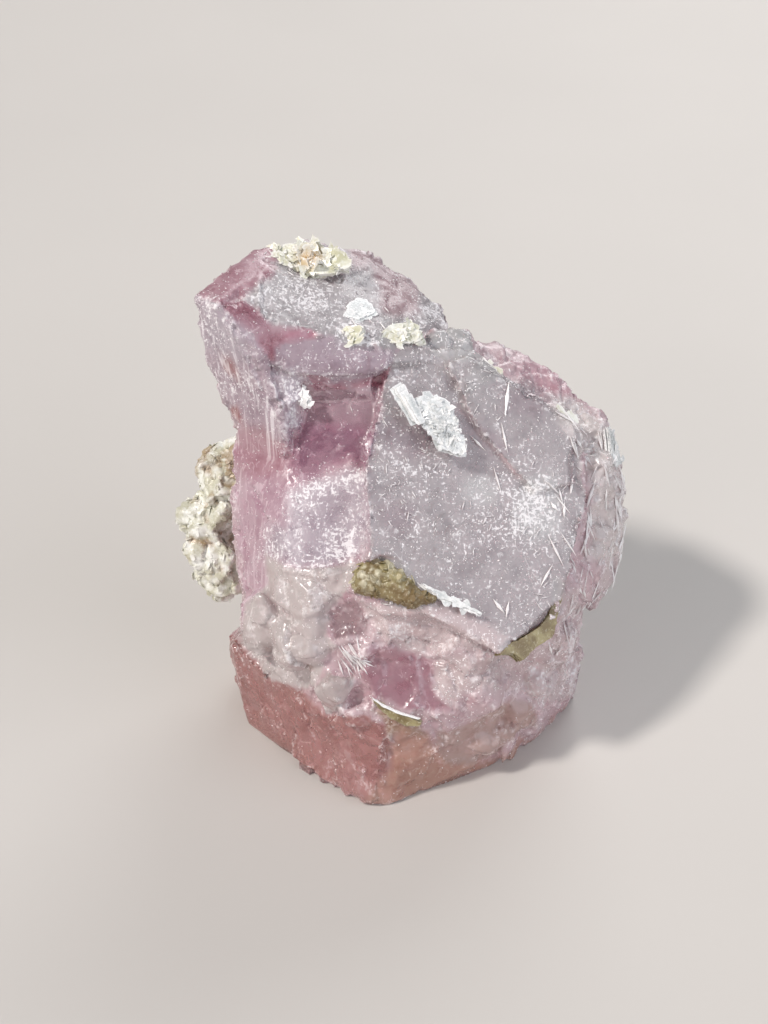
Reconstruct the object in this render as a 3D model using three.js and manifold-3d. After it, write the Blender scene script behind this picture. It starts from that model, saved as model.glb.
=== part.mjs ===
// A pink apatite crystal with muscovite mica grown in and on it, standing on its broken base.
// Units are millimetres: x runs to the right, y away from the front, z up.
// The origin is on the flat base, under the middle of the crystal.
import * as THREE from "three";
import { ConvexGeometry } from "three/addons/geometries/ConvexGeometry.js";
import { mergeVertices } from "three/addons/utils/BufferGeometryUtils.js";
import Module from "manifold-3d";

const wasm = await Module();
wasm.setup();

// Driving dimensions.
const CRYSTAL_HEIGHT = 44.5;
const PLATE_DEPTH = 4.2;
const TERRACE_STEP = 0.6;
const TERRACE_DEPTH = 2.8;
const MICA_GAP = 0.3;

// The upright line that the crystal's sides face away from.
const MIDDLE = new THREE.Vector3(0, 3, 0);

// Outward direction of the flat front face.
const PLATE_FACING = new THREE.Vector3(0.3, -0.7, 0.65).normalize();

// Corners of the crystal, each named for where it is.
const AT = {
  // The broken base.
  nearFoot: [-3, -12.2, 0],
  nearLeftFoot: [-8, -8.2, 0],
  leftFoot: [-15.2, -0.8, 0],
  backLeftFoot: [-13.5, 11, 0],
  backFoot: [-2, 15, 0],
  backRightFoot: [12, 13, 0],
  rightFoot: [17.2, 3, 0],
  midRightFoot: [12.6, -2.6, 0],
  nearRightFoot: [8.5, -6.4, 0],
  frontRightFoot: [4, -9, 0],
  // The front shoulder, under the plate.
  arrisTop: [-1.4, -9.4, 17.5],
  plateFoot: [8.2, -8.6, 15.4],
  plateFootRight: [13.2, -4.8, 16.6],
  rightWaist: [17.4, 4.2, 9.6],
  // The left side and the window face.
  windowLeft: [-10.6, -4.6, 23.4],
  windowRight: [-3.7, -5.6, 24],
  leftFlank: [-15.1, 0.2, 17.4],
  leftNeck: [-15.8, 5, 28.4],
  windowTopLeft: [-10.5, 5.7, 35.2],
  windowTopRight: [-1.8, 4.2, 35.6],
  // The saddle and the back.
  saddle: [4.6, 9.4, 35.4],
  rimRoot: [14.8, 8.2, 28.6],
  backNeck: [-13.6, 14.4, 29],
  backSaddle: [0.5, 17.6, 33],
  backRight: [13.4, 17, 26],
  backLeftWaist: [-15.2, 12.8, 12],
  backWaist: [-1, 18.2, 12],
  backRightWaist: [15.4, 14, 10],
  // The horn: the taller lobe that leans to the left, with its roof face on top.
  hornTip: [-18.6, 6, 43.4],
  hornNose: [-16.3, 3.6, 44],
  hornCheek: [-18, 6.4, 37],
  hornNeck: [-15.6, 6, 30],
  hornRidge: [-11.8, 2.1, 39.1],
  hornChin: [-10.4, 1.2, 31.8],
  hornShoulder: [-16.8, 9, 43.2],
  crestLeft: [-14.1, 13, CRYSTAL_HEIGHT],
  crest: [-9, 15, 44.2],
  crestRight: [-3.4, 17, 42.2],
  hornSlope: [0.5, 17, 39.4],
  hornFoot: [4, 15, 37],
  hornSaddle: [3.2, 12, 36.8],
  roofLeft: [-10.2, 4.3, 40.2],
  roofRight: [-1.6, 4.9, 38.9],
  browLeft: [-11.4, 2.4, 38.2],
  brow: [-6.7, 2.7, 37],
  browRight: [-1.7, 3.8, 37.3],
  hornInside: [-8, 12, 33],
  neckInside: [-9.5, 9, 33],
  hornBackLeft: [-11.6, 18, 38],
  hornBack: [-2, 19, 35],
  hornRoot: [-13.4, 15, 26],
  // The rounded rim on the right.
  rimSaddle: [6, 13, 35.2],
  rimTop: [9.6, 15, 33.9],
  rimUpper: [14, 13.8, 31.4],
  rimCorner: [18.6, 12, 28.2],
  rimShoulder: [20.2, 10.6, 26],
  rimSide: [21.2, 9, 22.6],
  rimFlank: [21.3, 7.6, 17],
  rimHip: [20.3, 6, 12.8],
  rimFoot: [18.4, 5, 10],
  rimBrow: [18.4, 6.4, 26.6],
  rimCheek: [18.6, 2.8, 20],
  rimJaw: [16.6, -0.4, 14.8],
  rimBackTop: [9, 20, 30],
  rimBack: [16, 17.6, 25],
  rimBackSide: [19, 14.4, 17],
  rimBackFoot: [17, 12.6, 9.6],
};

// The raised flat front face, and the smaller terrace on its upper right.
const PLATE_OUTLINE = [
  [-1.8, 4.1, 36.5],
  [-0.7, 5.8, 37.8],
  [4.9, 7.8, 37.4],
  [15.9, 6, 30.4],
  [16.6, 2, 25.8],
  [13.8, -3.9, 20.8],
  [13.3, -6.5, 18.1],
  [8.4, -9.7, 16.9],
  [2.1, -9.3, 20.3],
  [-3.6, -7.3, 25.1],
  [-3.6, -1.8, 31],
];
const TERRACE_OUTLINE = [
  [3.4, 6.4, 36.5],
  [5.4, 7.2, 36.6],
  [15, 5.6, 30.5],
  [15.4, 2.2, 26.7],
  [11.2, 0.4, 26.6],
  [6.4, 2.8, 31.5],
];

// Blocks with flat faces, each through its own corners.
const TRUNK = [
  "nearFoot", "nearLeftFoot", "leftFoot", "backLeftFoot", "backFoot", "backRightFoot",
  "rightFoot", "midRightFoot", "nearRightFoot", "frontRightFoot",
  "arrisTop", "plateFoot", "plateFootRight", "rightWaist",
  "windowLeft", "windowRight", "leftFlank", "leftNeck", "windowTopLeft", "windowTopRight",
  "saddle", "rimRoot", "backNeck", "backSaddle", "backRight",
  "backLeftWaist", "backWaist", "backRightWaist",
];
const HORN = [
  "hornTip", "hornNose", "hornRidge", "hornShoulder", "crestLeft", "crest", "crestRight",
  "hornSlope", "hornFoot", "hornSaddle", "roofLeft", "roofRight", "browLeft", "brow", "browRight",
  "hornBackLeft", "hornBack", "hornInside",
];
const NECK = [
  "hornTip", "hornNose", "hornCheek", "hornNeck", "hornRidge", "hornChin", "hornShoulder",
  "hornBackLeft", "hornRoot", "neckInside",
];
const RIM = [
  "saddle", "rimRoot", "plateFootRight",
  "rimSaddle", "rimTop", "rimUpper", "rimCorner", "rimShoulder", "rimSide", "rimFlank", "rimHip", "rimFoot",
  "rimBrow", "rimCheek", "rimJaw", "rimBackTop", "rimBack", "rimBackSide", "rimBackFoot",
];

// Broken ledges, each given by its own corners.
const LEDGES = {
  frontFoot: [
    [-11.4, -6.2, 0], [-7.8, -9.2, 0], [-3.2, -12.4, 0], [0, -11.4, 0], [-4, -4, 0],
    [-10.2, -6, 5.4], [-5, -9.9, 7.6], [-2, -11.4, 7.2], [-0.6, -10.8, 5], [-4, -4, 8],
  ],
  leftSpur: [
    [-16, 3, 0], [-15.4, -0.6, 0], [-12, -3.2, 0], [-10, 8, 0], [-15.6, 9, 0],
    [-17.3, 5.4, 6.2], [-16.4, 0.6, 9], [-13.2, -3, 8.2], [-10, 8, 9], [-16, 9, 5],
  ],
  pinkStep: [
    [-2.4, -9.6, 15.4], [3.6, -9.9, 15], [5, -9.8, 10.4], [-1.2, -10.9, 9.4],
    [-2, -5, 15], [4, -5, 15], [4, -5, 10], [-2, -5, 10],
  ],
  rightSkirt: [
    [9, -7.2, 0], [15.4, 0.2, 0], [17.4, 3.4, 1], [17.8, 4, 6.4], [13.4, -3.8, 8],
    [9.4, -7.4, 4], [8, 2, 0], [8, 2, 8],
  ],
  windowSill: [
    [-11.6, -5.4, 20.4], [-4.2, -7, 20.8], [-4, -6.6, 23], [-10.8, -5, 22.6],
    [-6, 2, 20], [-11, 2, 20], [-6, 2, 23], [-11, 2, 22],
  ],
  backPrism: [
    [-11, 16.4, 3], [-1.6, 19, 2], [-1.2, 20.2, 19], [-10, 18.2, 22], [-13.6, 14.4, 14],
    [-6, 10, 4], [-6, 10, 22], [3, 18.4, 10],
  ],
  backStep: [
    [4, 18.2, 11], [12.6, 16.8, 10], [14.6, 16.4, 24], [5, 20.2, 26], [2.4, 18.8, 18],
    [8, 10, 12], [8, 10, 25],
  ],
};

// Rounded lumps of clear crystal: centre, reach to each side, and reach up and down.
const LUMPS = [
  { at: [-12.2, -2, 14.6], reach: 3.7, rise: 4.2 },
  { at: [-8.6, -4.4, 19.6], reach: 3.7, rise: 3 },
  { at: [-9, -5, 15], reach: 3.8, rise: 3.4 },
  { at: [-5.8, -6.8, 11.4], reach: 3.5, rise: 3.6 },
  { at: [-4, -6.4, 16.8], reach: 3.6, rise: 3.2 },
  { at: [5.4, -5.4, 4.8], reach: 3.9, rise: 3.4 },
  { at: [10.2, -2.4, 6.4], reach: 3.9, rise: 3.4 },
  { at: [6.6, -6, 11], reach: 4, rise: 3.6 },
  { at: [12.4, -2, 12.2], reach: 3.8, rise: 3.8 },
  { at: [4.5, 10.2, 35.6], reach: 2.5, rise: 2.3 },
];

// Edges that are chipped in the real stone, between two named corners.
const CHIPPED_EDGES = [
  { from: "leftFoot", to: "nearLeftFoot", chips: 5, size: 1.5 },
  { from: "nearLeftFoot", to: "nearFoot", chips: 4, size: 1.4 },
  { from: "nearFoot", to: "frontRightFoot", chips: 4, size: 1.3 },
  { from: "nearRightFoot", to: "midRightFoot", chips: 3, size: 1.3 },
  { from: "midRightFoot", to: "rightFoot", chips: 3, size: 1.4 },
  { from: "hornTip", to: "hornCheek", chips: 4, size: 1.1 },
  { from: "hornCheek", to: "hornNeck", chips: 4, size: 1.1 },
  { from: "hornShoulder", to: "crestLeft", chips: 3, size: 1.2 },
  { from: "crest", to: "crestRight", chips: 3, size: 1.1 },
  { from: "hornSlope", to: "hornFoot", chips: 3, size: 1.2 },
  { from: "rimUpper", to: "rimCorner", chips: 3, size: 1.2 },
  { from: "rimSide", to: "rimFlank", chips: 4, size: 1.3 },
  { from: "rimFlank", to: "rimHip", chips: 4, size: 1.5 },
  { from: "rimHip", to: "rimFoot", chips: 3, size: 1.4 },
];

// How lumps and chips are shaped; a range gives the least and the most.
const LUMP = { points: 34, unevenness: 0.1, seed: 7 };
const CHIP = {
  points: 9,
  unevenness: 0.3,
  outset: 0.45,
  place: [0.2, 0.8],
  width: [0.6, 1.2],
  height: [0.7, 1.3],
  lift: [-0.5, 0.5],
  seed: 11,
};

// How the leaves of a mica book differ from each other, as shares of the book's own size.
const LEAF = {
  corners: 7,
  overlap: 1.2,
  place: [0, 0.5],
  reach: [0.4, 0.5],
  shrink: [0, 0.32],
  shift: [-0.06, 0.06],
  turn: [-0.25, 0.25],
};

// A socket is wider than its book by this many gaps, both sides counted.
const SOCKET_GAPS = 2.4;

const pink = new THREE.MeshStandardMaterial({ color: 0xd9b3bd, roughness: 0.28, flatShading: true });
const silver = new THREE.MeshStandardMaterial({ color: 0xcfd3cc, roughness: 0.35, flatShading: true });
const straw = new THREE.MeshStandardMaterial({ color: 0xd2c79a, roughness: 0.4, flatShading: true });
const olive = new THREE.MeshStandardMaterial({ color: 0x8d8450, roughness: 0.5, flatShading: true });

// Books of mica set in the crystal's surface: the way their leaves face, how far they are turned,
// and their sizes.
const FLAKES = {
  top_mica_book: {
    at: [-8.8, 12, 43.5], facing: [-0.1, -0.55, 0.83], spin: 0.1,
    length: 8.4, width: 4.6, thickness: 2.6, leaves: 6, seed: 3, finish: straw,
  },
  saddle_mica_left: {
    at: [-5, 4.4, 39], facing: [-0.25, -0.75, 0.6], spin: 0.25,
    length: 4.8, width: 2.6, thickness: 1.2, leaves: 4, seed: 5, finish: silver,
  },
  saddle_mica_right: {
    at: [-0.2, 6.3, 38.4], facing: [0.2, -0.6, 0.78], spin: 0.3,
    length: 5.2, width: 2.6, thickness: 1.6, leaves: 4, seed: 8, finish: straw,
  },
  ridge_mica: {
    at: [7.6, 8.4, 35], facing: [0.15, -0.6, 0.79], spin: 0.18,
    length: 3.8, width: 2.2, thickness: 1.4, leaves: 4, seed: 13, finish: straw,
  },
  silver_mica_plate: {
    at: [1.9, 0.8, 33.8], facing: [0.28, -0.72, 0.64], spin: -0.85,
    length: 6.6, width: 3.4, thickness: 0.8, leaves: 3, seed: 21, finish: silver,
  },
  rim_mica_upper: {
    at: [14.9, 7.4, 30.3], facing: [0.5, -0.55, 0.67], spin: 0.4,
    length: 3.2, width: 2.2, thickness: 0.9, leaves: 3, seed: 34, finish: straw,
  },
  rim_mica_side: {
    at: [20, 8.4, 25], facing: [0.8, -0.45, 0.35], spin: 1.2,
    length: 5.6, width: 2, thickness: 0.9, leaves: 3, seed: 55, finish: silver,
  },
  olive_mica_lump: {
    at: [-1.4, -7.8, 22.7], facing: [-0.1, -0.7, 0.7], spin: -0.25,
    length: 7, width: 4.4, thickness: 2.8, leaves: 6, seed: 89, finish: olive,
  },
  white_mica_blade: {
    at: [4.6, -8.7, 20.6], facing: [0.2, -0.8, 0.55], spin: -0.45,
    length: 5, width: 1.2, thickness: 0.9, leaves: 3, seed: 144, finish: silver,
  },
  olive_mica_sliver: {
    at: [12.7, -5.8, 17.2], facing: [0.5, -0.7, 0.5], spin: 0.75,
    length: 7.4, width: 2, thickness: 1.2, leaves: 3, seed: 233, finish: olive,
  },
  front_mica_blade: {
    at: [-0.6, -10.7, 9.4], facing: [0.1, -0.92, 0.38], spin: -0.5,
    length: 4.6, width: 2, thickness: 1.1, leaves: 3, seed: 377, finish: olive,
  },
};

// The clump of mica behind the left side: books along a curved spine, turned every way.
const CLUMP = {
  spine: [[-15.2, 11.6, 24.4], [-16.8, 10.8, 20.4], [-18, 9.8, 15.4], [-17.2, 8.8, 10.2]],
  outward: [-0.95, -0.1, 0.3],
  books: 11,
  leaves: 2,
  leafLength: [4.8, 7.2],
  leafWidth: 4.6,
  bookThickness: 2.8,
  endSize: 0.74,
  middleSize: 1.15,
  scatter: [-1.3, 1.3],
  tip: [0.6, 2.5],
  roll: [-0.6, 0.6],
  spin: [0, Math.PI],
  seed: 610,
};

const vector = (corner) => new THREE.Vector3(...corner);
const between = ([least, most], random) => least + (most - least) * random();

// Repeatable random numbers from 0 to 1.
function seededRandom(seed) {
  let state = seed;
  return () => {
    state = (Math.imul(state, 1664525) + 1013904223) >>> 0;
    return state / 4294967296;
  };
}

// A closed three.js geometry as a solid that can be joined and cut.
function solidOf(geometry) {
  const bare = geometry.clone();
  bare.deleteAttribute("normal");
  bare.deleteAttribute("uv");
  const merged = mergeVertices(bare, 1e-4);
  return new wasm.Manifold(
    new wasm.Mesh({
      numProp: 3,
      vertProperties: merged.attributes.position.array,
      triVerts: new Uint32Array(merged.index.array),
    }),
  );
}

// A joined or cut solid as a three.js geometry.
function geometryOf(solid) {
  const mesh = solid.getMesh();
  const geometry = new THREE.BufferGeometry();
  geometry.setAttribute("position", new THREE.BufferAttribute(mesh.vertProperties, 3));
  geometry.setIndex(new THREE.BufferAttribute(mesh.triVerts, 1));
  geometry.computeVertexNormals();
  return geometry;
}

const joined = (solids) => solids.reduce((whole, next) => whole.add(next));
const hull = (points) => solidOf(new ConvexGeometry(points));
const block = (names) => hull(names.map((name) => vector(AT[name])));

// A flat slab whose front is the given outline, sunk into the stone behind it.
function slab(outline, lift, depth) {
  const front = outline.map((corner) => vector(corner).addScaledVector(PLATE_FACING, lift));
  const back = front.map((corner) => corner.clone().addScaledVector(PLATE_FACING, -depth));
  return hull([...front, ...back]);
}

// An uneven ball with flat faces: points spread round a sphere by the golden angle, at uneven reaches.
function unevenBall(at, reaches, { points, unevenness }, random) {
  const goldenAngle = Math.PI * (3 - Math.sqrt(5));
  const corners = [];
  for (let i = 0; i < points; i++) {
    const height = 1 - (2 * i + 1) / points;
    const around = goldenAngle * i + random();
    const reach = 1 - unevenness * random();
    const flat = Math.sqrt(1 - height * height);
    const corner = new THREE.Vector3(flat * Math.cos(around), flat * Math.sin(around), height);
    corners.push(corner.multiply(reaches).multiplyScalar(reach).add(at));
  }
  return hull(corners);
}

// Uneven bites along an edge, to be cut away from it.
function chips({ from, to, chips: count, size }, random) {
  const start = vector(AT[from]);
  const along = vector(AT[to]).sub(start);
  const bites = [];
  for (let i = 0; i < count; i++) {
    const at = start.clone().addScaledVector(along, (i + between(CHIP.place, random)) / count);
    const outward = at.clone().sub(MIDDLE).setZ(0).normalize();
    const width = size * between(CHIP.width, random);
    const height = width * between(CHIP.height, random);
    at.addScaledVector(outward, CHIP.outset * width);
    at.z += width * between(CHIP.lift, random);
    bites.push(unevenBall(at, new THREE.Vector3(width, width, height), CHIP, random));
  }
  return joined(bites);
}

// The rounded lumps, joined in one solid.
function lumps() {
  const random = seededRandom(LUMP.seed);
  const ball = ({ at, reach, rise }) => {
    const reaches = new THREE.Vector3(reach, reach, rise);
    return unevenBall(vector(at), reaches, LUMP, random);
  };
  return joined(LUMPS.map(ball));
}

// The crystal without the sockets for its mica, cut off flat at the base.
function bareCrystal() {
  const random = seededRandom(CHIP.seed);
  const blocks = [TRUNK, HORN, NECK, RIM].map(block);
  const ledges = Object.values(LEDGES).map((corners) => hull(corners.map(vector)));
  const plate = slab(PLATE_OUTLINE, 0, PLATE_DEPTH);
  const terrace = slab(TERRACE_OUTLINE, TERRACE_STEP, TERRACE_DEPTH);
  const bites = CHIPPED_EDGES.map((edge) => chips(edge, random));
  const ground = new THREE.BoxGeometry(4 * CRYSTAL_HEIGHT, 4 * CRYSTAL_HEIGHT, CRYSTAL_HEIGHT);
  ground.translate(0, 0, -CRYSTAL_HEIGHT / 2);
  const grown = joined([...blocks, ...ledges, plate, terrace, lumps()]);
  return grown.subtract(joined([...bites, solidOf(ground)]));
}

// One thin leaf of mica with an uneven outline, lying flat.
function leaf(length, width, thickness, random) {
  const corners = [];
  for (let i = 0; i < LEAF.corners; i++) {
    const angle = (2 * Math.PI * (i + between(LEAF.place, random))) / LEAF.corners;
    const reach = between(LEAF.reach, random);
    corners.push(new THREE.Vector2(length * reach * Math.cos(angle), width * reach * Math.sin(angle)));
  }
  return new THREE.ExtrudeGeometry(new THREE.Shape(corners), { depth: thickness, bevelEnabled: false });
}

// A book of mica: leaves stacked on each other, each a little smaller, turned and shifted.
function micaBook({ length, width, thickness, leaves, seed }) {
  const random = seededRandom(seed);
  const rise = thickness / leaves;
  const stack = [];
  for (let i = 0; i < leaves; i++) {
    const size = 1 - (i / leaves) * between(LEAF.shrink, random);
    const sheet = leaf(length * size, width * size, rise * LEAF.overlap, random);
    sheet.rotateZ(between(LEAF.turn, random));
    const along = length * between(LEAF.shift, random);
    const across = width * between(LEAF.shift, random);
    sheet.translate(along, across, rise * i - thickness / 2);
    stack.push(solidOf(sheet));
  }
  return joined(stack);
}

// The socket that a book sits in: the hull of the book, larger by the gap all round.
function socketOf(mesh, { length, width, thickness }) {
  const wider = (size) => 1 + (SOCKET_GAPS * MICA_GAP) / size;
  const grown = mesh.geometry.clone().scale(wider(length), wider(width), wider(thickness));
  mesh.updateMatrix();
  grown.applyMatrix4(mesh.matrix);
  const places = grown.getAttribute("position");
  const corners = [];
  for (let i = 0; i < places.count; i++) {
    corners.push(new THREE.Vector3().fromBufferAttribute(places, i));
  }
  return hull(corners);
}

// A named mesh for one book, with its leaves facing outwards.
function flakeMesh(name, flake) {
  const mesh = new THREE.Mesh(geometryOf(micaBook(flake)), flake.finish);
  const facing = vector(flake.facing).normalize();
  const across = new THREE.Vector3(1, 0, 0).projectOnPlane(facing).normalize();
  const along = facing.clone().cross(across);
  mesh.name = name;
  mesh.position.set(...flake.at);
  mesh.quaternion.setFromRotationMatrix(new THREE.Matrix4().makeBasis(across, along, facing));
  mesh.rotateZ(flake.spin);
  return mesh;
}

// The clump's books, joined in one solid.
function clumpSolid() {
  const random = seededRandom(CLUMP.seed);
  const spine = new THREE.CatmullRomCurve3(CLUMP.spine.map(vector));
  const books = [];
  for (let i = 0; i < CLUMP.books; i++) {
    const share = i / (CLUMP.books - 1);
    const size = THREE.MathUtils.lerp(CLUMP.endSize, CLUMP.middleSize, Math.sin(Math.PI * share));
    const book = micaBook({
      length: size * between(CLUMP.leafLength, random),
      width: size * CLUMP.leafWidth,
      thickness: size * CLUMP.bookThickness,
      leaves: CLUMP.leaves,
      seed: CLUMP.seed + i,
    });
    const tip = between(CLUMP.tip, random);
    const roll = between(CLUMP.roll, random);
    const spin = between(CLUMP.spin, random);
    const at = spine.getPoint(share);
    at.x += size * between(CLUMP.scatter, random);
    at.y += size * between(CLUMP.scatter, random);
    const place = new THREE.Matrix4().makeRotationFromEuler(new THREE.Euler(tip, roll, spin));
    books.push(solidOf(geometryOf(book).applyMatrix4(place.setPosition(at))));
  }
  return joined(books);
}

// The whole specimen: the mica in its sockets, the clump against the left side, and the crystal.
const specimen = new THREE.Group();
const flakes = Object.entries(FLAKES).map(([name, flake]) => flakeMesh(name, flake));
const sockets = flakes.map((mesh) => socketOf(mesh, FLAKES[mesh.name]));
const crystalSolid = bareCrystal().subtract(joined(sockets));

const crystal = new THREE.Mesh(geometryOf(crystalSolid), pink);
crystal.name = "apatite_crystal";

const clearance = vector(CLUMP.outward).setLength(MICA_GAP).toArray();
const clumpBed = crystalSolid.add(crystalSolid.translate(clearance));
const clump = new THREE.Mesh(geometryOf(clumpSolid().subtract(clumpBed)), silver);
clump.name = "mica_clump";

specimen.add(crystal, clump, ...flakes);

export default specimen;
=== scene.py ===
"""Looks of a pink apatite crystal with muscovite mica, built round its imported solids.

Meshes are worked in millimetres, x to the right, y away from the front and z up, and are set down in metres.
"""
import logging
import math
from collections.abc import Sequence
from dataclasses import dataclass, field
from enum import Enum, IntEnum

import bmesh
import bpy
import numpy as np
from mathutils import Matrix, Vector
from mathutils.bvhtree import BVHTree
from mathutils.geometry import delaunay_2d_cdt
from mathutils.kdtree import KDTree


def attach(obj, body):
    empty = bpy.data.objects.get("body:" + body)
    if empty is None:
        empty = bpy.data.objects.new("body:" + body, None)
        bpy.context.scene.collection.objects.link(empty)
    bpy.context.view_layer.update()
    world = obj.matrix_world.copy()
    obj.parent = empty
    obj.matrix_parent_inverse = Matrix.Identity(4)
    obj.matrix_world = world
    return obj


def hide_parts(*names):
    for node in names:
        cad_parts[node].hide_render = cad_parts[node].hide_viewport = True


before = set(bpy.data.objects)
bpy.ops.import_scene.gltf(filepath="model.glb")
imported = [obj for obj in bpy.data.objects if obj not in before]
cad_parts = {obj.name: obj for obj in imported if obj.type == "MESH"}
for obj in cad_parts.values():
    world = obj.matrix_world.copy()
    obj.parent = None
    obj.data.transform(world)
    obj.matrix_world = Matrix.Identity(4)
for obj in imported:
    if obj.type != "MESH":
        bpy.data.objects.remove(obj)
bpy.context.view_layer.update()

MM = 0.001
BODY = "root"

Array = np.ndarray
Corner = tuple[float, float, float]
Colour = tuple[float, float, float, float]
Outline = tuple[tuple[float, float], ...]

SEEN_FROM = math.radians(35.0)
SEEN_RIGHT = np.array([1.0, 0.0, 0.0])
SEEN_UP = np.array([0.0, math.sin(SEEN_FROM), math.cos(SEEN_FROM)])
SEEN_OUT = np.array([0.0, -math.cos(SEEN_FROM), math.sin(SEEN_FROM)])
SEEN_MIDDLE = np.array([-2.0, 0.0, 24.9])
SEEN_AWAY = 153.0
HORN_RUN = (0.46, -0.2, -0.87)
BASE_SKIN = 0.05
CRISP_MICA = 0.5
log = logging.getLogger("apatite")


def linear(code: str) -> Colour:
    """Turns a colour code such as d9b3bd into linear light.

    Args:
        code: Six hexadecimal digits of an sRGB colour.

    Returns:
        Red, green, blue and a full alpha.
    """
    shares = [int(code[i:i + 2], 16) / 255 for i in (0, 2, 4)]
    red, green, blue = (s / 12.92 if s < 0.04045 else ((s + 0.055) / 1.055) ** 2.4 for s in shares)
    return red, green, blue, 1.0


def smoothstep(low: float, high: float, values: Array) -> Array:
    """Rises smoothly from 0 at low to 1 at high.

    Args:
        low: The value that gives 0.
        high: The value that gives 1; it may be less than low.
        values: What is measured.

    Returns:
        Shares from 0 to 1.
    """
    share = np.clip((values - low) / (high - low), 0.0, 1.0)
    return share * share * (3.0 - 2.0 * share)


class Flat:
    """Measures in a flat drawing."""

    @staticmethod
    def as_seen(points: Array) -> Array:
        """Draws places as they are seen from the front.

        Args:
            points: Places, three numbers to a row.

        Returns:
            Millimetres to the right of and above the middle of the view, two numbers to a row.
        """
        gap = points - SEEN_MIDDLE
        shrink = 1.0 - (gap @ SEEN_OUT) / SEEN_AWAY
        return np.stack([gap @ SEEN_RIGHT / shrink, gap @ SEEN_UP / shrink], axis=1)

    @staticmethod
    def inside(spots: Array, outline: Array) -> Array:
        """Says which places are inside an outline.

        Args:
            spots: The places, two numbers to a row.
            outline: Its corners in order, two numbers to a row.

        Returns:
            True for each place inside.
        """
        after = np.roll(outline, -1, axis=0)
        within = np.zeros(len(spots), dtype=bool)
        for (x0, y0), (x1, y1) in zip(outline, after):
            crosses = (y0 > spots[:, 1]) != (y1 > spots[:, 1])
            rise = (spots[:, 1] - y0) / (y1 - y0 if y1 != y0 else 1e-9)
            within ^= crosses & (spots[:, 0] < x0 + rise * (x1 - x0))
        return within

    @staticmethod
    def away(spots: Array, outline: Array) -> Array:
        """Measures how far places are from an outline.

        Args:
            spots: The places, two numbers to a row.
            outline: Its corners in order, two numbers to a row.

        Returns:
            A distance for each place.
        """
        nearest = np.full(len(spots), np.inf)
        for start, end in zip(outline, np.roll(outline, -1, axis=0)):
            along = end - start
            share = np.clip((spots - start) @ along / (along @ along), 0.0, 1.0)
            nearest = np.minimum(nearest, np.linalg.norm(spots - start - share[:, None] * along, axis=1))
        return nearest


class Channel(IntEnum):
    """Sets of random numbers, one for each use of noise on the crystal."""

    WAVES = 1
    SLABS = 10
    SCOOPS = 20
    CHIPS = 40
    BEND = 60
    CHIP_BEND = 70
    LEDGES = 90
    GRIT = 100
    RIBS = 110
    WEAR = 120
    KNOBS = 140
    PLANES = 160
    BEADS = 170
    CLOUD_BEND = 200
    FROST_GROUPS = 220
    WORN_SPOTS = 240
    TUFTS = 250
    ZONE_BEND = 260


class StoneNoise:
    """Repeatable noise in space, worked out for whole arrays of points at once."""

    @staticmethod
    def random(cell: Array, channel: int) -> Array:
        """Gives each whole-number cell a number of its own.

        Args:
            cell: Whole-number places, three to a row.
            channel: Picks one of many unrelated sets of numbers.

        Returns:
            Numbers from 0 to 1.
        """
        mixed = (cell[:, 0] * 73856093) ^ (cell[:, 1] * 19349663) ^ (cell[:, 2] * 83492791)
        mixed = (mixed ^ (channel * 40503)) * 1274126177
        mixed = (mixed ^ (mixed >> 15)) * 668265263
        mixed = mixed ^ (mixed >> 13)
        return (mixed & 0xFFFFFF) / float(0xFFFFFF)

    @classmethod
    def smooth(cls, points: Array, size: float, channel: int) -> Array:
        """Soft hills and hollows of one size.

        Args:
            points: Places, three to a row.
            size: How far apart hills are.
            channel: Picks the set of hills.

        Returns:
            Heights from -1 to 1.
        """
        spots = points / size
        cell = np.floor(spots).astype(np.int64)
        share = spots - cell
        share = share * share * (3.0 - 2.0 * share)
        total = np.zeros(len(points))
        for corner in np.ndindex(2, 2, 2):
            step = np.array(corner)
            weight = np.prod(np.where(step == 1, share, 1.0 - share), axis=1)
            total += weight * cls.random(cell + step, channel)
        return 2.0 * total - 1.0

    @classmethod
    def fractal(cls, points: Array, size: float, channel: int, octaves: int = 4) -> Array:
        """Hills with smaller hills on them.

        Args:
            points: Places, three to a row.
            size: How far apart the largest hills are.
            channel: Picks the set of hills.
            octaves: How many sizes of hill there are, each half of the last.

        Returns:
            Heights, nearly all from -1 to 1.
        """
        total = np.zeros(len(points))
        for octave in range(octaves):
            total += cls.smooth(points, size / 2**octave, channel + octave) / 2**octave
        return total / 1.5

    @classmethod
    def cells(cls, points: Array, size: float, channel: int) -> tuple[Array, Array, Array]:
        """Splits space into uneven cells, as broken stone is split into shell-shaped chips.

        Args:
            points: Places, three to a row.
            size: How wide cells are.
            channel: Picks the set of cells.

        Returns:
            How far each point is from the middle of its cell and how far from its border, in cells, and a
            plane's height there: each cell has its own tilt and offset.
        """
        spots = points / size
        home = np.floor(spots).astype(np.int64)
        nearest = np.full(len(points), 9.0)
        second = np.full(len(points), 9.0)
        height = np.zeros(len(points))
        for step in np.ndindex(3, 3, 3):
            cell = home + (np.array(step) - 1)
            middle = cell + np.stack([cls.random(cell, channel + k) for k in range(3)], axis=1)
            tilt = np.stack([cls.random(cell, channel + 3 + k) for k in range(3)], axis=1) - 0.5
            gap = spots - middle
            away = np.linalg.norm(gap, axis=1)
            closer = away < nearest
            second = np.where(closer, nearest, np.minimum(second, away))
            nearest = np.where(closer, away, nearest)
            plane = cls.random(cell, channel + 7) - 0.5 + (gap * tilt).sum(axis=1)
            height = np.where(closer, plane, height)
        return nearest, second - nearest, height


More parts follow.
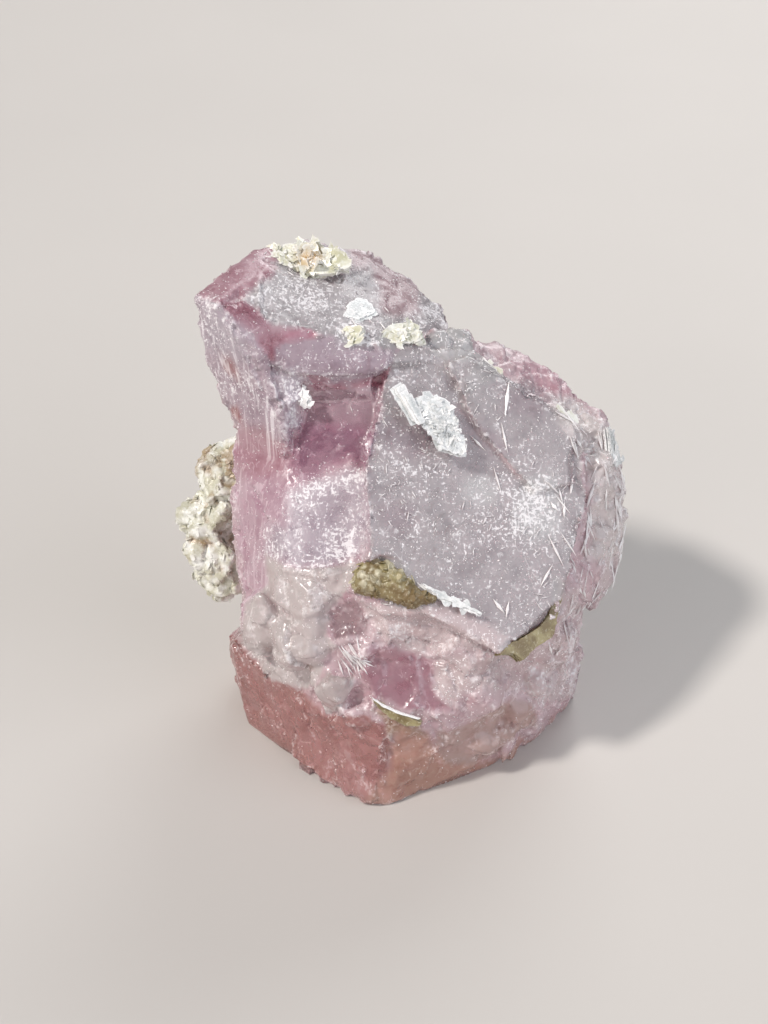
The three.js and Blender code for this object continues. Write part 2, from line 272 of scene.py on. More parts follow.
class Workbench:
    """Turns solids into fine meshes, in millimetres."""

    @staticmethod
    def solid(node: str) -> bpy.types.Mesh:
        """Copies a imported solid, with its loose triangles joined.

        Args:
            node: The solid's name.

        Returns:
            A new mesh.
        """
        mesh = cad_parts[node].data.copy()
        mesh.materials.clear()
        mesh.transform(Matrix.Scale(1 / MM, 4))
        work = bmesh.new()
        work.from_mesh(mesh)
        bmesh.ops.remove_doubles(work, verts=work.verts, dist=1e-4)
        work.to_mesh(mesh)
        work.free()
        return mesh

    @staticmethod
    def evaluated(holder: bpy.types.Object) -> bpy.types.Mesh:
        """Makes what an object's modifiers give a plain mesh, and takes the object away.

        Args:
            holder: An object with its modifiers set.

        Returns:
            A new mesh.
        """
        graph = bpy.context.evaluated_depsgraph_get()
        mesh = bpy.data.meshes.new_from_object(holder.evaluated_get(graph))
        holder.modifiers.clear()
        bpy.data.objects.remove(holder)
        return mesh

    @staticmethod
    def holder(mesh: bpy.types.Mesh) -> bpy.types.Object:
        """Puts a mesh in a passing object, so that modifiers can work on it.

        Args:
            mesh: The mesh to work on.

        Returns:
            The object.
        """
        made = bpy.data.objects.new("workpiece", mesh)
        bpy.context.scene.collection.objects.link(made)
        return made

    @classmethod
    def remeshed(cls, mesh: bpy.types.Mesh, voxel: float) -> bpy.types.Mesh:
        """Gives a closed mesh even, small faces.

        Args:
            mesh: Closed shapes, which may overlap.
            voxel: How wide the new faces are.

        Returns:
            A new mesh of one skin.
        """
        made = cls.holder(mesh)
        modifier = made.modifiers.new("even faces", "REMESH")
        modifier.mode = "VOXEL"
        modifier.voxel_size = voxel
        return cls.evaluated(made)

    @classmethod
    def thinned(cls, mesh: bpy.types.Mesh, most: int) -> bpy.types.Mesh:
        """Joins faces where a mesh is flat.

        Args:
            mesh: The mesh, which isn't used again.
            most: How many triangles may be left.

        Returns:
            A new mesh.
        """
        mesh.calc_loop_triangles()
        made = cls.holder(mesh)
        modifier = made.modifiers.new("fewer faces", "DECIMATE")
        modifier.ratio = min(1.0, most / len(mesh.loop_triangles))
        return cls.evaluated(made)

    @staticmethod
    def points(mesh: bpy.types.Mesh) -> Array:
        """Reads where a mesh's corners are.

        Args:
            mesh: The mesh.

        Returns:
            Places, three numbers to a row.
        """
        flat = np.empty(3 * len(mesh.vertices), dtype=np.float32)
        mesh.vertices.foreach_get("co", flat)
        return flat.reshape(-1, 3).astype(np.float64)

    @staticmethod
    def normals(mesh: bpy.types.Mesh) -> Array:
        """Reads the way that each corner of a mesh faces.

        Args:
            mesh: The mesh.

        Returns:
            Ways of length 1, three numbers to a row.
        """
        flat = np.empty(3 * len(mesh.vertices), dtype=np.float32)
        mesh.vertex_normals.foreach_get("vector", flat)
        return flat.reshape(-1, 3).astype(np.float64)

    @staticmethod
    def move(mesh: bpy.types.Mesh, points: Array) -> None:
        """Puts a mesh's corners at new places."""
        mesh.vertices.foreach_set("co", points.astype(np.float32).ravel())
        mesh.update()

    @staticmethod
    def write(mesh: bpy.types.Mesh, name: str, values: Array) -> None:
        """Keeps a number or a colour for each corner of a mesh.

        Args:
            mesh: The mesh that holds them.
            name: What they are called.
            values: One number, or one row of four, for each corner.
        """
        many = values.ndim == 2
        layer = mesh.attributes.new(name, "FLOAT_COLOR" if many else "FLOAT", "POINT")
        layer.data.foreach_set("color" if many else "value", values.astype(np.float32).ravel())

    @staticmethod
    def relaxed(mesh: bpy.types.Mesh, values: Array, rounds: int) -> Array:
        """Evens values out between neighbouring corners.

        Args:
            mesh: The mesh whose edges say which corners are neighbours.
            values: One number or one row for each corner.
            rounds: How many times each corner takes its neighbours' mean.

        Returns:
            The evened values.
        """
        flat = np.empty(2 * len(mesh.edges), dtype=np.int32)
        mesh.edges.foreach_get("vertices", flat)
        ends = flat.reshape(-1, 2)
        count = np.bincount(flat, minlength=len(values)).astype(np.float64)
        rows = values.reshape(len(values), -1)
        for _ in range(rounds):
            mean = np.empty_like(rows)
            for column in range(rows.shape[1]):
                total = np.bincount(ends[:, 0], rows[ends[:, 1], column], len(rows))
                total += np.bincount(ends[:, 1], rows[ends[:, 0], column], len(rows))
                mean[:, column] = total / np.maximum(count, 1.0)
            rows = 0.5 * rows + 0.5 * mean
        return rows.reshape(values.shape)

    @staticmethod
    def set_down(
        name: str,
        mesh: bpy.types.Mesh,
        finish: bpy.types.Material,
        slot: str,
        stands_for: Sequence[str] = (),
        crisp: float = math.pi,
    ) -> bpy.types.Object:
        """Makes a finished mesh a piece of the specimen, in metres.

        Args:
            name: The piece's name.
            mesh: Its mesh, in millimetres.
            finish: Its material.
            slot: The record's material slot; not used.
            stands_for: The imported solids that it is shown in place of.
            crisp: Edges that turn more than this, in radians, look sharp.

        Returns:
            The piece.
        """
        mesh.transform(Matrix.Scale(MM, 4))
        mesh.materials.clear()
        mesh.materials.append(finish)
        mesh.shade_smooth()
        if crisp < math.pi:
            mesh.set_sharp_from_angle(angle=crisp)
        mesh.name = name
        piece = bpy.data.objects.new(name, mesh)
        bpy.context.scene.collection.objects.link(piece)
        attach(piece, BODY)
        if stands_for:
            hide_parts(*stands_for)
        mesh.calc_loop_triangles()
        log.info("%s: %d triangles", name, len(mesh.loop_triangles))
        return piece


class Value:
    """A shader socket that can stand in a sum: each sign adds a Math node."""

    def __init__(self, sheet: "NodeSheet", socket: bpy.types.NodeSocket) -> None:
        """Holds a socket and the sheet of nodes that it is on."""
        self.sheet = sheet
        self.socket = socket

    def math(self, operation: str, *values: "Value | float", clamp: bool = False) -> "Value":
        """Adds a Math node.

        Args:
            operation: What it works out.
            values: Its inputs, in order.
            clamp: Keeps what it gives between 0 and 1.

        Returns:
            What it gives.
        """
        settings = {"operation": operation, "use_clamp": clamp}
        node = self.sheet.node("ShaderNodeMath", settings, dict(enumerate(values)))
        return Value(self.sheet, node.outputs[0])

    def __add__(self, other: "Value | float") -> "Value":
        """Adds."""
        return self.math("ADD", self, other)

    def __radd__(self, other: float) -> "Value":
        """Adds, with the number first."""
        return self.math("ADD", other, self)

    def __sub__(self, other: "Value | float") -> "Value":
        """Takes away."""
        return self.math("SUBTRACT", self, other)

    def __rsub__(self, other: float) -> "Value":
        """Takes this away from a number."""
        return self.math("SUBTRACT", other, self)

    def __mul__(self, other: "Value | float") -> "Value":
        """Multiplies."""
        return self.math("MULTIPLY", self, other)

    def __rmul__(self, other: float) -> "Value":
        """Multiplies, with the number first."""
        return self.math("MULTIPLY", other, self)

    def size(self) -> "Value":
        """Takes off its sign."""
        return self.math("ABSOLUTE", self)

    def most(self, other: "Value | float") -> "Value":
        """Gives the greater of the two."""
        return self.math("MAXIMUM", self, other)

    def clamped(self) -> "Value":
        """Keeps it between 0 and 1."""
        return self.math("ADD", self, 0.0, clamp=True)

    def rising(self, low: float, high: float) -> "Value":
        """Rises smoothly from 0 at low to 1 at high.

        Args:
            low: The value that gives 0.
            high: The value that gives 1; it may be less than low.

        Returns:
            Shares from 0 to 1.
        """
        turned = high < low
        ends = {"Value": self, "From Min": min(low, high), "From Max": max(low, high)}
        ends |= {"To Min": float(turned), "To Max": float(not turned)}
        node = self.sheet.node("ShaderNodeMapRange", {"interpolation_type": "SMOOTHSTEP"}, ends)
        return Value(self.sheet, node.outputs["Result"])


class NodeTree:
    """A tree of nodes, built one node at a time."""

    def __init__(self, tree: bpy.types.NodeTree) -> None:
        """Holds the tree that nodes are added to."""
        self.tree = tree

    def node(
        self,
        kind: str,
        settings: dict[str, object] | None = None,
        inputs: dict[str | int, object] | None = None,
    ) -> bpy.types.Node:
        """Adds a node.

        Args:
            kind: The node's type.
            settings: What is set on the node itself, before its sockets.
            inputs: Its sockets' values, or what is linked to them.

        Returns:
            The node.
        """
        made = self.tree.nodes.new(kind)
        for name, value in (settings or {}).items():
            setattr(made, name, value)
        for name, value in (inputs or {}).items():
            if isinstance(value, Value):
                value = value.socket
            if isinstance(value, bpy.types.NodeSocket):
                self.tree.links.new(value, made.inputs[name])
            else:
                made.inputs[name].default_value = value
        return made


class NodeSheet(NodeTree):
    """The nodes of one material."""

    def __init__(self, name: str) -> None:
        """Starts a material with only its output.

        Args:
            name: The material's name.
        """
        self.material = bpy.data.materials.new(name)
        self.material.use_nodes = True
        super().__init__(self.material.node_tree)
        self.tree.nodes.clear()
        self.output = self.node("ShaderNodeOutputMaterial")

    def places(
        self, stretch: Corner = (1.0, 1.0, 1.0), turn: Corner = (0.0, 0.0, 0.0)
    ) -> bpy.types.NodeSocket:
        """Gives places on the piece, in millimetres.

        Args:
            stretch: Makes patterns finer along each axis.
            turn: Turns the pattern, in radians about each axis.

        Returns:
            A vector socket.
        """
        own = self.node("ShaderNodeTexCoord").outputs["Object"]
        scale = tuple(s / MM for s in stretch)
        return self.node(
            "ShaderNodeMapping", {"vector_type": "POINT"}, {"Vector": own, "Rotation": turn, "Scale": scale}
        ).outputs[0]

    def noise(
        self, places: bpy.types.NodeSocket, size: float, detail: float = 3.0, rough: float = 0.55
    ) -> Value:
        """Adds soft noise.

        Args:
            places: Where it is read.
            size: How wide its largest blots are, in millimetres.
            detail: How many finer sizes there are.
            rough: How strong the finer sizes are.

        Returns:
            Values round 0.5.
        """
        inputs = {"Vector": places, "Scale": 1 / size, "Detail": detail, "Roughness": rough}
        return Value(self, self.node("ShaderNodeTexNoise", None, inputs).outputs["Fac"])

    def number(self, name: str) -> Value:
        """Reads a number that the mesh keeps for each corner."""
        return Value(self, self.node("ShaderNodeAttribute", {"attribute_name": name}).outputs["Fac"])

    def colour(self, name: str) -> bpy.types.NodeSocket:
        """Reads a colour that the mesh keeps for each corner."""
        return self.node("ShaderNodeAttribute", {"attribute_name": name}).outputs["Color"]

    def mixed(
        self, share: Value | float, first: object, second: object, blend: str = "MIX"
    ) -> bpy.types.NodeSocket:
        """Mixes two colours.

        Args:
            share: How much of the second shows.
            first: A colour or a colour socket.
            second: A colour or a colour socket.
            blend: How they mix.

        Returns:
            A colour socket.
        """
        settings = {"data_type": "RGBA", "blend_type": blend}
        return self.node("ShaderNodeMix", settings, {0: share, 6: first, 7: second}).outputs[2]

    def bumped(self, height: Value, strength: float, depth: float) -> bpy.types.NodeSocket:
        """Roughens the surface's shading.

        Args:
            height: The relief, from 0 to 1.
            strength: How much of it shows.
            depth: How deep it is, in millimetres.

        Returns:
            A normal socket.
        """
        inputs = {"Height": height, "Strength": strength, "Distance": depth * MM}
        return self.node("ShaderNodeBump", None, inputs).outputs[0]

    def surface(self, inputs: dict[str, object]) -> bpy.types.Material:
        """Ends the sheet in one surface.

        Args:
            inputs: The surface's values, and what is linked to it.

        Returns:
            The material.
        """
        node = self.node("ShaderNodeBsdfPrincipled", None, inputs)
        self.tree.links.new(node.outputs[0], self.output.inputs["Surface"])
        return self.material


@dataclass(frozen=True)
class ApatiteFinish:
    """Pink crystal that light goes into, under white grains, curls and scratches; some of the white is
    painted light: specks that stand in for glints, and edges that stand in for highlights.
    """

    bend: float = 1.63
    absorbed: Colour = linear("f2c3d0")
    density: float = 40.0
    milk: float = 0.66
    frost_white: Colour = linear("f6f4f6")
    veil: Colour = linear("efe6ea")

    def material(self) -> bpy.types.Material:
        """Builds the material.

        Returns:
            A material that reads the mesh's tint, frost, polish, clear, streaks and worn.
        """
        sheet = NodeSheet("apatite")
        places = sheet.places()
        frost = sheet.number("frost")
        polish = sheet.number("polish")
        streaks = sheet.number("streaks") * self.streaks(sheet)
        cloud = sheet.noise(places, 2.0, 3.0, 0.65)
        fine = sheet.noise(places, 0.5, 2.0, 0.7)
        specks = sheet.noise(places, 0.3, 2.0, 0.6)
        level = sheet.noise(sheet.places((0.45, 1.0, 1.0), (0.9, 0.4, 0.5)), 0.28, 2.0, 0.6)
        steep = sheet.noise(sheet.places((1.0, 0.5, 0.5), (-0.7, 0.5, 1.1)), 0.28, 2.0, 0.6)
        grain = specks.most(level).most(steep)
        # White specks on frosted faces: frost grains, also painted glints that stand in for sparkle.
        dust_and_glints = (grain + 0.22 * frost + 0.18 * (cloud - 0.5)).rising(0.745, 0.795)
        haze = frost * cloud.rising(0.35, 0.7)
        # White along worn convex edges and cracks: partly frosted chips, partly painted edge highlights.
        worn = sheet.number("worn") * fine.rising(0.38, 0.6)
        curls = self.curls(sheet) * (0.3 + 0.7 * frost)
        white = (haze * 0.08 + dust_and_glints * 0.9 + curls * 0.75 + streaks * 0.6 + worn * 0.9).clamped()
        tint = sheet.mixed(cloud.rising(0.48, 0.75) * (0.15 + 0.15 * frost), sheet.colour("tint"), self.veil)
        tint = sheet.mixed(cloud.rising(0.5, 0.28) * 0.5, tint, tint, "MULTIPLY")
        relief = sheet.bumped(fine * (0.25 + 0.6 * frost) + streaks * 0.4, 0.4, 0.14)
        rough = 0.1 + 0.3 * frost + 0.12 * cloud.rising(0.35, 0.7) - 0.1 * polish
        clear = sheet.node("ShaderNodeBsdfPrincipled", None, {
            "Base Color": sheet.mixed(0.6, tint, self.frost_white),
            "Roughness": rough.clamped(),
            "IOR": self.bend,
            "Transmission Weight": 1.0,
            "Normal": relief,
        })
        milky = sheet.node("ShaderNodeBsdfPrincipled", None, {
            "Base Color": sheet.mixed(0.85 * white, tint, self.frost_white),
            "Roughness": (rough + 0.1 + 0.2 * white).clamped(),
            "IOR": self.bend,
            "Normal": relief,
        })
        share = (self.milk - 0.4 * sheet.number("clear") + 0.5 * white).clamped()
        both = sheet.node("ShaderNodeMixShader", None, {0: share, 1: clear.outputs[0], 2: milky.outputs[0]})
        sheet.tree.links.new(both.outputs[0], sheet.output.inputs["Surface"])
        inside = {"Color": self.absorbed, "Density": self.density}
        volume = sheet.node("ShaderNodeVolumeAbsorption", None, inside)
        sheet.tree.links.new(volume.outputs[0], sheet.output.inputs["Volume"])
        return sheet.material

    @staticmethod
    def streaks(sheet: NodeSheet) -> Value:
        """Adds fine scratches that run down the horn's left face.

        Args:
            sheet: The material's nodes.

        Returns:
            1 along a scratch, and 0 between scratches.
        """
        along = Vector(HORN_RUN).to_track_quat("Z", "Y").inverted().to_euler()
        lines = sheet.noise(sheet.places((1.0, 1.0, 0.06), tuple(along)), 0.45, 2.0, 0.65)
        return lines.rising(0.5, 0.66)

    @staticmethod
    def curls(sheet: NodeSheet) -> Value:
        """Adds short, thin white curls, as fine cracks show.

        Args:
            sheet: The material's nodes.

        Returns:
            1 along a curl, and 0 between curls.
        """
        line = (sheet.noise(sheet.places((1.0, 0.6, 0.7), (0.5, 0.3, 0.8)), 1.1, 2.0, 0.5) - 0.5).size()
        group = sheet.noise(sheet.places(turn=(0.3, 0.9, 0.2)), 1.4, 2.0, 0.6)
        return line.rising(0.025, 0.005) * group.rising(0.53, 0.6)


@dataclass(frozen=True)
class MicaFinish:
    """Pearly leaves of muscovite, paler along their edges."""

    name: str
    body: Colour
    deep: Colour
    edge: Colour
    rough: float = 0.34
    pearl: float = 0.05
    stain: Colour = linear("cfa763")

    def material(self) -> bpy.types.Material:
        """Builds the material.

        Returns:
            A material that reads the mesh's tone and stain, where it keeps them.
        """
        sheet = NodeSheet(self.name)
        places = sheet.places()
        blots = sheet.noise(places, 1.4, 4.0, 0.6)
        fine = sheet.noise(places, 0.25, 3.0, 0.6)
        colour = sheet.mixed(blots.rising(0.38, 0.66), self.deep, self.body)
        colour = sheet.mixed(sheet.number("stain"), colour, self.stain)
        pale = (fine.rising(0.52, 0.7) * 0.5 + sheet.number("tone")).clamped()
        colour = sheet.mixed(pale, colour, self.edge)
        rough = self.rough + 0.3 * (fine - 0.5)
        return sheet.surface({
            "Base Color": colour,
            "Roughness": rough.clamped(),
            "Metallic": self.pearl,
            "IOR": 1.58,
            "Coat Weight": 0.25,
            "Coat Roughness": 0.25,
            "Normal": sheet.bumped(fine, 0.5, 0.1),
        })


@dataclass(frozen=True)
class FloorFinish:
    """A plain pale floor."""

    pale: Colour = linear("cdcac6")
    grey: Colour = linear("c6c3bf")

    def material(self) -> bpy.types.Material:
        """Builds the material.

        Returns:
            The material.
        """
        sheet = NodeSheet("pale_floor")
        shade = sheet.noise(sheet.places(), 60.0, 2.0)
        return sheet.surface({"Base Color": sheet.mixed(shade, self.pale, self.grey), "Roughness": 0.6})


class Finish(Enum):
    """The finishes of the mica."""

    SILVER = MicaFinish(
        "silver_mica", body=linear("e8ebea"), deep=linear("b9bfc0"), edge=linear("fdfdfd"), rough=0.26,
    )
    STRAW = MicaFinish(
        "straw_mica", body=linear("ebede4"), deep=linear("c9c8aa"), edge=linear("fdfdfa"),
    )
    OLIVE = MicaFinish(
        "olive_mica", body=linear("a0956c"), deep=linear("75643f"), edge=linear("d8d3ba"), rough=0.42,
        # This stain colour darkens the olive lump towards its bottom.
        stain=linear("7a623c"),
    )
    CLUMP = MicaFinish(
        "clump_mica", body=linear("f7f9f4"), deep=linear("cccbb6"), edge=linear("fdfdfb"), rough=0.36,
        stain=linear("9c7a4a"),
    )
    NEEDLE = MicaFinish(
        "needle_mica", body=linear("faf9f9"), deep=linear("ebe7e8"), edge=linear("fefefe"), rough=0.3,
    )

    def slot(self) -> str:
        """Names the record's material slot."""
        return "silver_mica" if self is Finish.NEEDLE else self.value.name


class Palette:
    """Materials that have been built, one for each finish."""

    def __init__(self) -> None:
        """Starts with none."""
        self.built: dict[Finish, bpy.types.Material] = {}

    def of(self, finish: Finish) -> bpy.types.Material:
        """Gives a finish's material, building it the first time.

        Args:
            finish: The finish.

        Returns:
            Its material.
        """
        if finish not in self.built:
            self.built[finish] = finish.value.material()
        return self.built[finish]


class Tint(Enum):
    """The crystal's colours."""

    SHELL = linear("e0c7cd")
    # Grey of the frosted plate and roof: partly frost, partly painted sheen, the greyer look of pink faces
    # that reflect the light.
    SHEEN_GREY = linear("b8b5b8")
    DIM = linear("a89fa5")
    SILVERY = linear("d0d2d3")
    LILAC = linear("bcaab6")
    PALE_LILAC = linear("c8bec9")
    DUSK = linear("b59aa0")
    PINK = linear("d0a3b0")
    PINK_GLASS = linear("dcbccb")
    ROSE = linear("cd8fa2")
    MAGENTA = linear("cc98b6")
    BLUSH = linear("dccccd")
    CHALK = linear("e8e1df")
    MILK = linear("ccb2a9")
    # Salmon of the foot and its ledge, made darker than the stone's own colour: painted shade at the bottom
    # of the crystal.
    SHADED_SALMON = linear("b8827b")
    PEACH = linear("cc9f8b")
    TAN = linear("b0917b")
    RUST = linear("b0706c")


class Form(Enum):
    """What is scattered over a surface, by how many sides it has and how far it narrows to its top."""

    NEEDLE = (4, 0.6)
    FLECK = (4, 0.0)
    SCALE = (6, 0.8)


@dataclass
class Scatter:
    """Many small things over a surface, at random but the same each time."""

    form: Form
    mask: str
    density: float
    least: Corner
    most: Corner
    tilt: float
    seed: int
    along: Corner = (1.0, 0.0, 0.0)
    spin: float = math.pi

    def tree(self) -> bpy.types.NodeTree:
        """Builds the nodes that scatter.

        Returns:
            A tree with named inputs for its sizes.
        """
        tree = bpy.data.node_groups.new("scatter", "GeometryNodeTree")
        face = tree.interface
        face.new_socket("Geometry", in_out="INPUT", socket_type="NodeSocketGeometry")
        for name, kind in (
            ("Density", "NodeSocketFloat"), ("Least", "NodeSocketVector"), ("Most", "NodeSocketVector"),
            ("Along", "NodeSocketVector"), ("Tilt", "NodeSocketFloat"), ("Spin", "NodeSocketFloat"),
            ("Seed", "NodeSocketInt"), ("Material", "NodeSocketMaterial"),
        ):
            face.new_socket(name, in_out="INPUT", socket_type=kind)
        face.new_socket("Geometry", in_out="OUTPUT", socket_type="NodeSocketGeometry")

        node = NodeTree(tree).node
        given = tree.nodes.new("NodeGroupInput").outputs
        sides, narrowing = self.form.value
        mask = node("GeometryNodeInputNamedAttribute", {"data_type": "FLOAT"}, {"Name": self.mask})
        share = node("ShaderNodeMath", {"operation": "MULTIPLY"}, {0: given["Density"], 1: mask.outputs[0]})
        spread = node("GeometryNodeDistributePointsOnFaces", {}, {
            "Mesh": given["Geometry"], "Density": share.outputs[0], "Seed": given["Seed"],
        })
        shape = node("GeometryNodeMeshCone", {"fill_type": "NGON"}, {
            "Vertices": sides, "Radius Top": 0.5 * narrowing, "Radius Bottom": 0.5, "Depth": 1.0,
        })
        size = node("FunctionNodeRandomValue", {"data_type": "FLOAT_VECTOR"}, {
            0: given["Least"], 1: given["Most"], "Seed": given["Seed"],
        })
        lean = node("ShaderNodeCombineXYZ", {}, {0: given["Tilt"], 1: given["Tilt"], 2: given["Spin"]})
        lean_back = node("ShaderNodeVectorMath", {"operation": "SCALE"}, {0: lean.outputs[0], "Scale": -1.0})
        turn = node("FunctionNodeRandomValue", {"data_type": "FLOAT_VECTOR"}, {
            0: lean_back.outputs[0], 1: lean.outputs[0], "Seed": given["Seed"],
        })
        laid = node("FunctionNodeAlignRotationToVector", {"axis": "X", "pivot_axis": "Z"}, {
            "Rotation": spread.outputs["Rotation"], "Vector": given["Along"],
        })
        turned = node("FunctionNodeRotateRotation", {"rotation_space": "LOCAL"}, {
            "Rotation": laid.outputs[0], "Rotate By": turn.outputs[0],
        })
        copies = node("GeometryNodeInstanceOnPoints", {}, {
            "Points": spread.outputs["Points"], "Instance": shape.outputs["Mesh"],
            "Rotation": turned.outputs[0], "Scale": size.outputs[0],
        })
        real = node("GeometryNodeRealizeInstances", {}, {"Geometry": copies.outputs[0]})
        dressed = node("GeometryNodeSetMaterial", {}, {
            "Geometry": real.outputs[0], "Material": given["Material"],
        })
        node("NodeGroupOutput", {}, {0: dressed.outputs[0]})
        return tree

    def over(self, surface: bpy.types.Mesh, finish: bpy.types.Material) -> bpy.types.Mesh:
        """Scatters over a surface.

        Args:
            surface: A mesh in millimetres that keeps the mask.
            finish: The material of what is scattered.

        Returns:
            One mesh of all that was scattered, in millimetres.
        """
        holder = Workbench.holder(surface)
        modifier = holder.modifiers.new("scatter", "NODES")
        modifier.node_group = self.tree()
        given = {
            "Density": self.density, "Least": self.least, "Most": self.most,
            "Along": self.along, "Tilt": self.tilt, "Spin": self.spin, "Seed": self.seed, "Material": finish,
        }
        for item in modifier.node_group.interface.items_tree:
            if item.in_out == "INPUT" and item.name in given:
                modifier[item.identifier] = given[item.name]
        return Workbench.evaluated(holder)


@dataclass(frozen=True)
class Face:
    """One flat face of the crystal: the way it faces, and the box that it lies in."""

    facing: Corner
    low: Corner
    high: Corner
    tint: Tint
    frost: float
    least: float = 0.94
    anchor: Corner | None = None
    near: float = 1.1

    def share(self, points: Array, normals: Array) -> Array:
        """Says how far corners belong to the face.

        Args:
            points: Their places.
            normals: The way that they face.

        Returns:
            Shares from 0 to 1.
        """
        facing = np.array(self.facing) / np.linalg.norm(self.facing)
        share = smoothstep(self.least - 0.03, self.least + 0.01, normals @ facing)
        if self.anchor is not None:
            share *= smoothstep(self.near + 0.3, self.near, np.abs((points - self.anchor) @ facing))
        inside = np.all((points > self.low) & (points < self.high), axis=1)
        return share * inside


@dataclass(frozen=True)
class Egg:
    """A soft-edged part of space: an egg, by its middle and its reaches."""

    middle: Corner
    reach: Corner

    def share(self, points: Array) -> Array:
        """Says how far places are inside, from 0 to 1."""
        away = np.linalg.norm((points - self.middle) / self.reach, axis=1)
        return smoothstep(1.0, 0.45, away)


@dataclass(frozen=True)
class Patch(Egg):
    """A cloud of colour in the crystal."""

    tint: Tint
    strength: float
    frost: float


@dataclass(frozen=True)
class Zone:
    """A part of the front with a border of its own, in the outline that it shows from the front."""

    outline: Outline
    tint: Tint
    frost: float
    polish: float
    clear: float
    calm: float = 0.0
    soft: float = 0.3

    def share(self, seen: Array) -> Array:
        """Says how far places belong to the zone.

        Args:
            seen: Where they are seen, two numbers to a row.

        Returns:
            Shares from 0 to 1.
        """
        outline = np.array(self.outline)
        away = Flat.away(seen, outline)
        return smoothstep(-self.soft, self.soft, np.where(Flat.inside(seen, outline), away, -away))


@dataclass(frozen=True)
class Cut:
    """A flat break: near its middle, the crystal ends at a plane."""

    middle: Corner
    facing: Corner
    reach: float

    def shaved(self, points: Array) -> Array:
        """Takes off what stands out of the plane.

        Args:
            points: Places, three numbers to a row.

        Returns:
            New places.
        """
        facing = np.array(self.facing) / np.linalg.norm(self.facing)
        gap = points - self.middle
        share = smoothstep(self.reach, 0.4 * self.reach, np.linalg.norm(gap, axis=1))
        shaved = points - facing * (np.maximum(gap @ facing, 0.0) * share)[:, None]
        shaved[:, 2] = np.where(points[:, 2] < BASE_SKIN, points[:, 2], shaved[:, 2])
        return shaved


